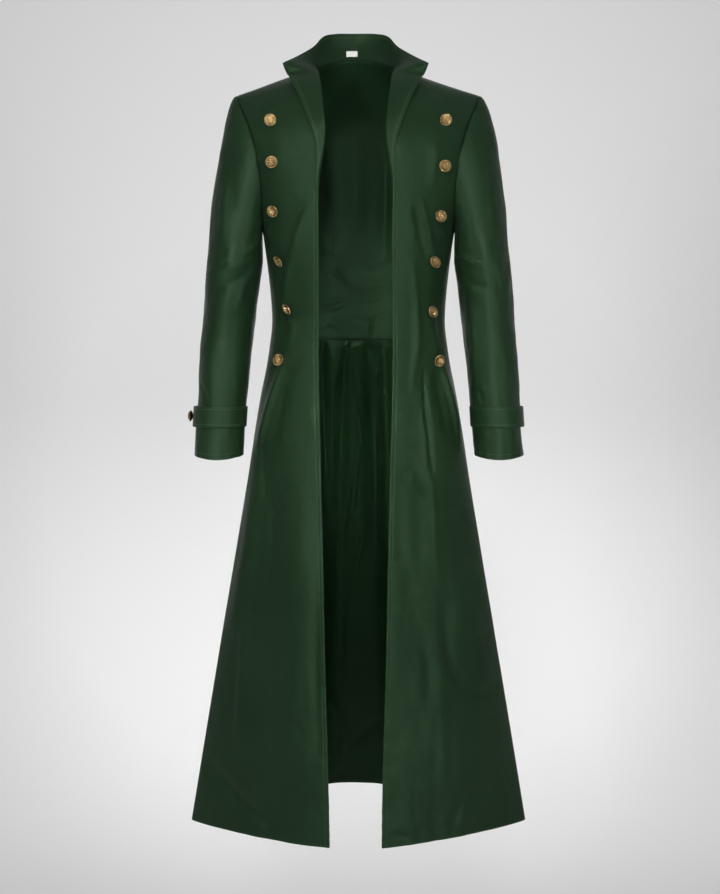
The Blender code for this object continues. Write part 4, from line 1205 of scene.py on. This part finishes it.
# Points under the button's rim, and round the foot of its shank, that have to stay clear of the cloth
BUTTON_RIM = [
    (across * math.cos(t), along * math.sin(t), height)
    for across, along, height, count in (
        (BUTTON_RADIUS + 0.001, BUTTON_RADIUS + 0.001, SHANK_LENGTH, 32), (0.0021, 0.0008, -0.0008, 12),
    )
    for t in np.linspace(0, 2 * math.pi, count, endpoint=False)
]
form = button_form()
thread_form = button_part("cylinder", 0.0, (0, 0, 0.5), vertices=12, radius=1, depth=1)
BUTTON_PANELS = {
    "front_button_right": "front_right", "front_button_left": "front_left",
    "cuff_button_right": "cuff_strap_right", "cuff_button_left": "cuff_strap_left",
}
for node in sorted(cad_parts):
    if "button" not in node:
        continue
    panel = panels[next(p for b, p in BUTTON_PANELS.items() if node.startswith(b))]
    low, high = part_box(node)
    off = np.linalg.norm(panel.outer - np.array((low + high) / 2), axis=2)
    seat = panel.outer.reshape(-1, 3)[off.argmin()]
    near = np.exp(-((np.linalg.norm(panel.outer - seat, axis=2) / CLOTH_REACH) ** 2))[..., None]
    out = Vector((panel.face_out * near).sum((0, 1))).normalized()
    facing = out
    if node in FACING:
        across, up = FACING[node]
        wanted = Vector((across, -1, up)).normalized()
        facing = out.slerp(wanted, min(1.0, MOST_ASKEW / max(out.angle(wanted), 1e-6)))
    root, seat = Vector(seat) - out * THREAD_ROOT, Vector(seat) + out * SEAT_RISE
    turned = facing.to_track_quat("Z", "Y").to_matrix()
    beside = np.linalg.norm(panel.outer - np.array(seat), axis=2) < 2 * BUTTON_RADIUS
    cloth, cloth_out = panel.outer[beside], panel.face_out[beside]
    for _ in range(SEAT_TRIES):
        rim = np.array([seat + turned @ Vector(point) for point in BUTTON_RIM])
        nearest = ((rim[:, None] - cloth[None]) ** 2).sum(2).argmin(1)
        heights = ((rim - cloth[nearest]) * cloth_out[nearest]).sum(1)
        seat = seat + out * max(0.0, BUTTON_CLEAR - heights.min())
    button = linked(node + "_gilt", form.data.copy())
    button.data.transform(Matrix.Translation(seat) @ turned.to_4x4())
    dressed(button, antique_gold, "gold_buttons", node)
    reach = seat + facing * SEAT_RISE - root
    thread = linked(node + "_thread", thread_form.data.copy())
    size = Matrix.Diagonal((SHANK_THREAD_RADIUS, SHANK_THREAD_RADIUS, reach.length, 1))
    along = reach.to_track_quat("Z", "Y").to_matrix().to_4x4()
    thread.data.transform(Matrix.Translation(root) @ along @ size)
    dressed(thread, green_thread, "coat_cloth")
bpy.data.objects.remove(form)
bpy.data.objects.remove(thread_form)

# Seamless pale grey paper behind and below, its colour painted lighter in a soft pool behind the coat and
# darker away from it, and soft studio light.
bpy.context.scene.view_settings.view_transform = "Standard"
FLOOR = -2.1
PAPER_BEND = 1.4
sweep = [(-6.0, 0.0), (2.0, 0.0)] + [
    (2.0 + PAPER_BEND * math.sin(t), PAPER_BEND * (1 - math.cos(t)))
    for t in np.linspace(0.08, math.pi / 2, 20)
] + [(3.4, 7.0)]
paper_mesh = bpy.data.meshes.new("paper")
paper_mesh.from_pydata(
    [(x, y, FLOOR + z) for y, z in sweep for x in (-8.0, 8.0)], [],
    [(2 * k, 2 * k + 1, 2 * k + 3, 2 * k + 2) for k in range(len(sweep) - 1)],
)
paper_mesh.shade_smooth()
look = Look("pale_paper_painted_light_pool")
solid = look.node("TexCoord", out="Object")
# Painted light: the paper's colour is lighter within a soft round pool behind the coat and darker further
# out, standing in for a spot of light on it
off = look.node("VectorMath", {0: solid, 1: (0.0, 3.4, -1.1)}, out="Value", operation="DISTANCE")
fade = look.node("MapRange", {"Value": off, 1: 1.2, 2: 2.4})
paper_mesh.materials.append(look.shader({
    "Base Color": look.mix(fade, (0.88, 0.88, 0.88, 1), (0.71, 0.71, 0.71, 1)),
    "Roughness": 0.9,
    "Specular IOR Level": 0.1,
}))
linked("paper", paper_mesh)

world = bpy.data.worlds.new("studio")
world.use_nodes = True
world.node_tree.nodes["Background"].inputs["Color"].default_value = (1, 1, 1, 1)
world.node_tree.nodes["Background"].inputs["Strength"].default_value = 0.23
bpy.context.scene.world = world
Lamp = namedtuple("Lamp", "name place aim width height watts spread")
for lamp in (
    Lamp("key", (-1.8, -3.6, -0.1), (0, 0, -0.5), 0.7, 1.1, 62, 180),
    Lamp("fill", (2.0, -3.5, -0.2), (0, 0, -0.5), 0.7, 1.1, 56, 180),
    Lamp("front", (-0.12, -3.3, 1.15), (0, 0.1, -0.5), 0.4, 0.4, 1.45, 25),
    Lamp("low", (0.03, -3.3, -0.5), (0.0, 0.15, -0.68), 0.3, 0.3, 0.15, 9),
    Lamp("paper_glow", (0.0, 1.2, 3.8), (0, 3.4, -1.3), 6.5, 1.2, 50, 84),
):
    light = bpy.data.lights.new(lamp.name, "AREA")
    light.shape = "RECTANGLE"
    light.size, light.size_y, light.energy = lamp.width, lamp.height, lamp.watts
    light.spread = math.radians(lamp.spread)
    item = linked(lamp.name, light)
    item.location = lamp.place
    item.rotation_euler = (Vector(lamp.aim) - Vector(lamp.place)).to_track_quat("-Z", "Y").to_euler()

# The camera stands level with the coat's hip, three metres off, and looks a little down.
camera_data = bpy.data.cameras.new("camera")
camera_data.lens = 36 * 1656.5 / 894
camera_data.sensor_width = 36
camera = linked("camera", camera_data)
camera.location = (0.0027, -3.0, -0.504)
camera.rotation_euler = (math.radians(90 - 3.351), 0, 0)
bpy.context.scene.camera = camera
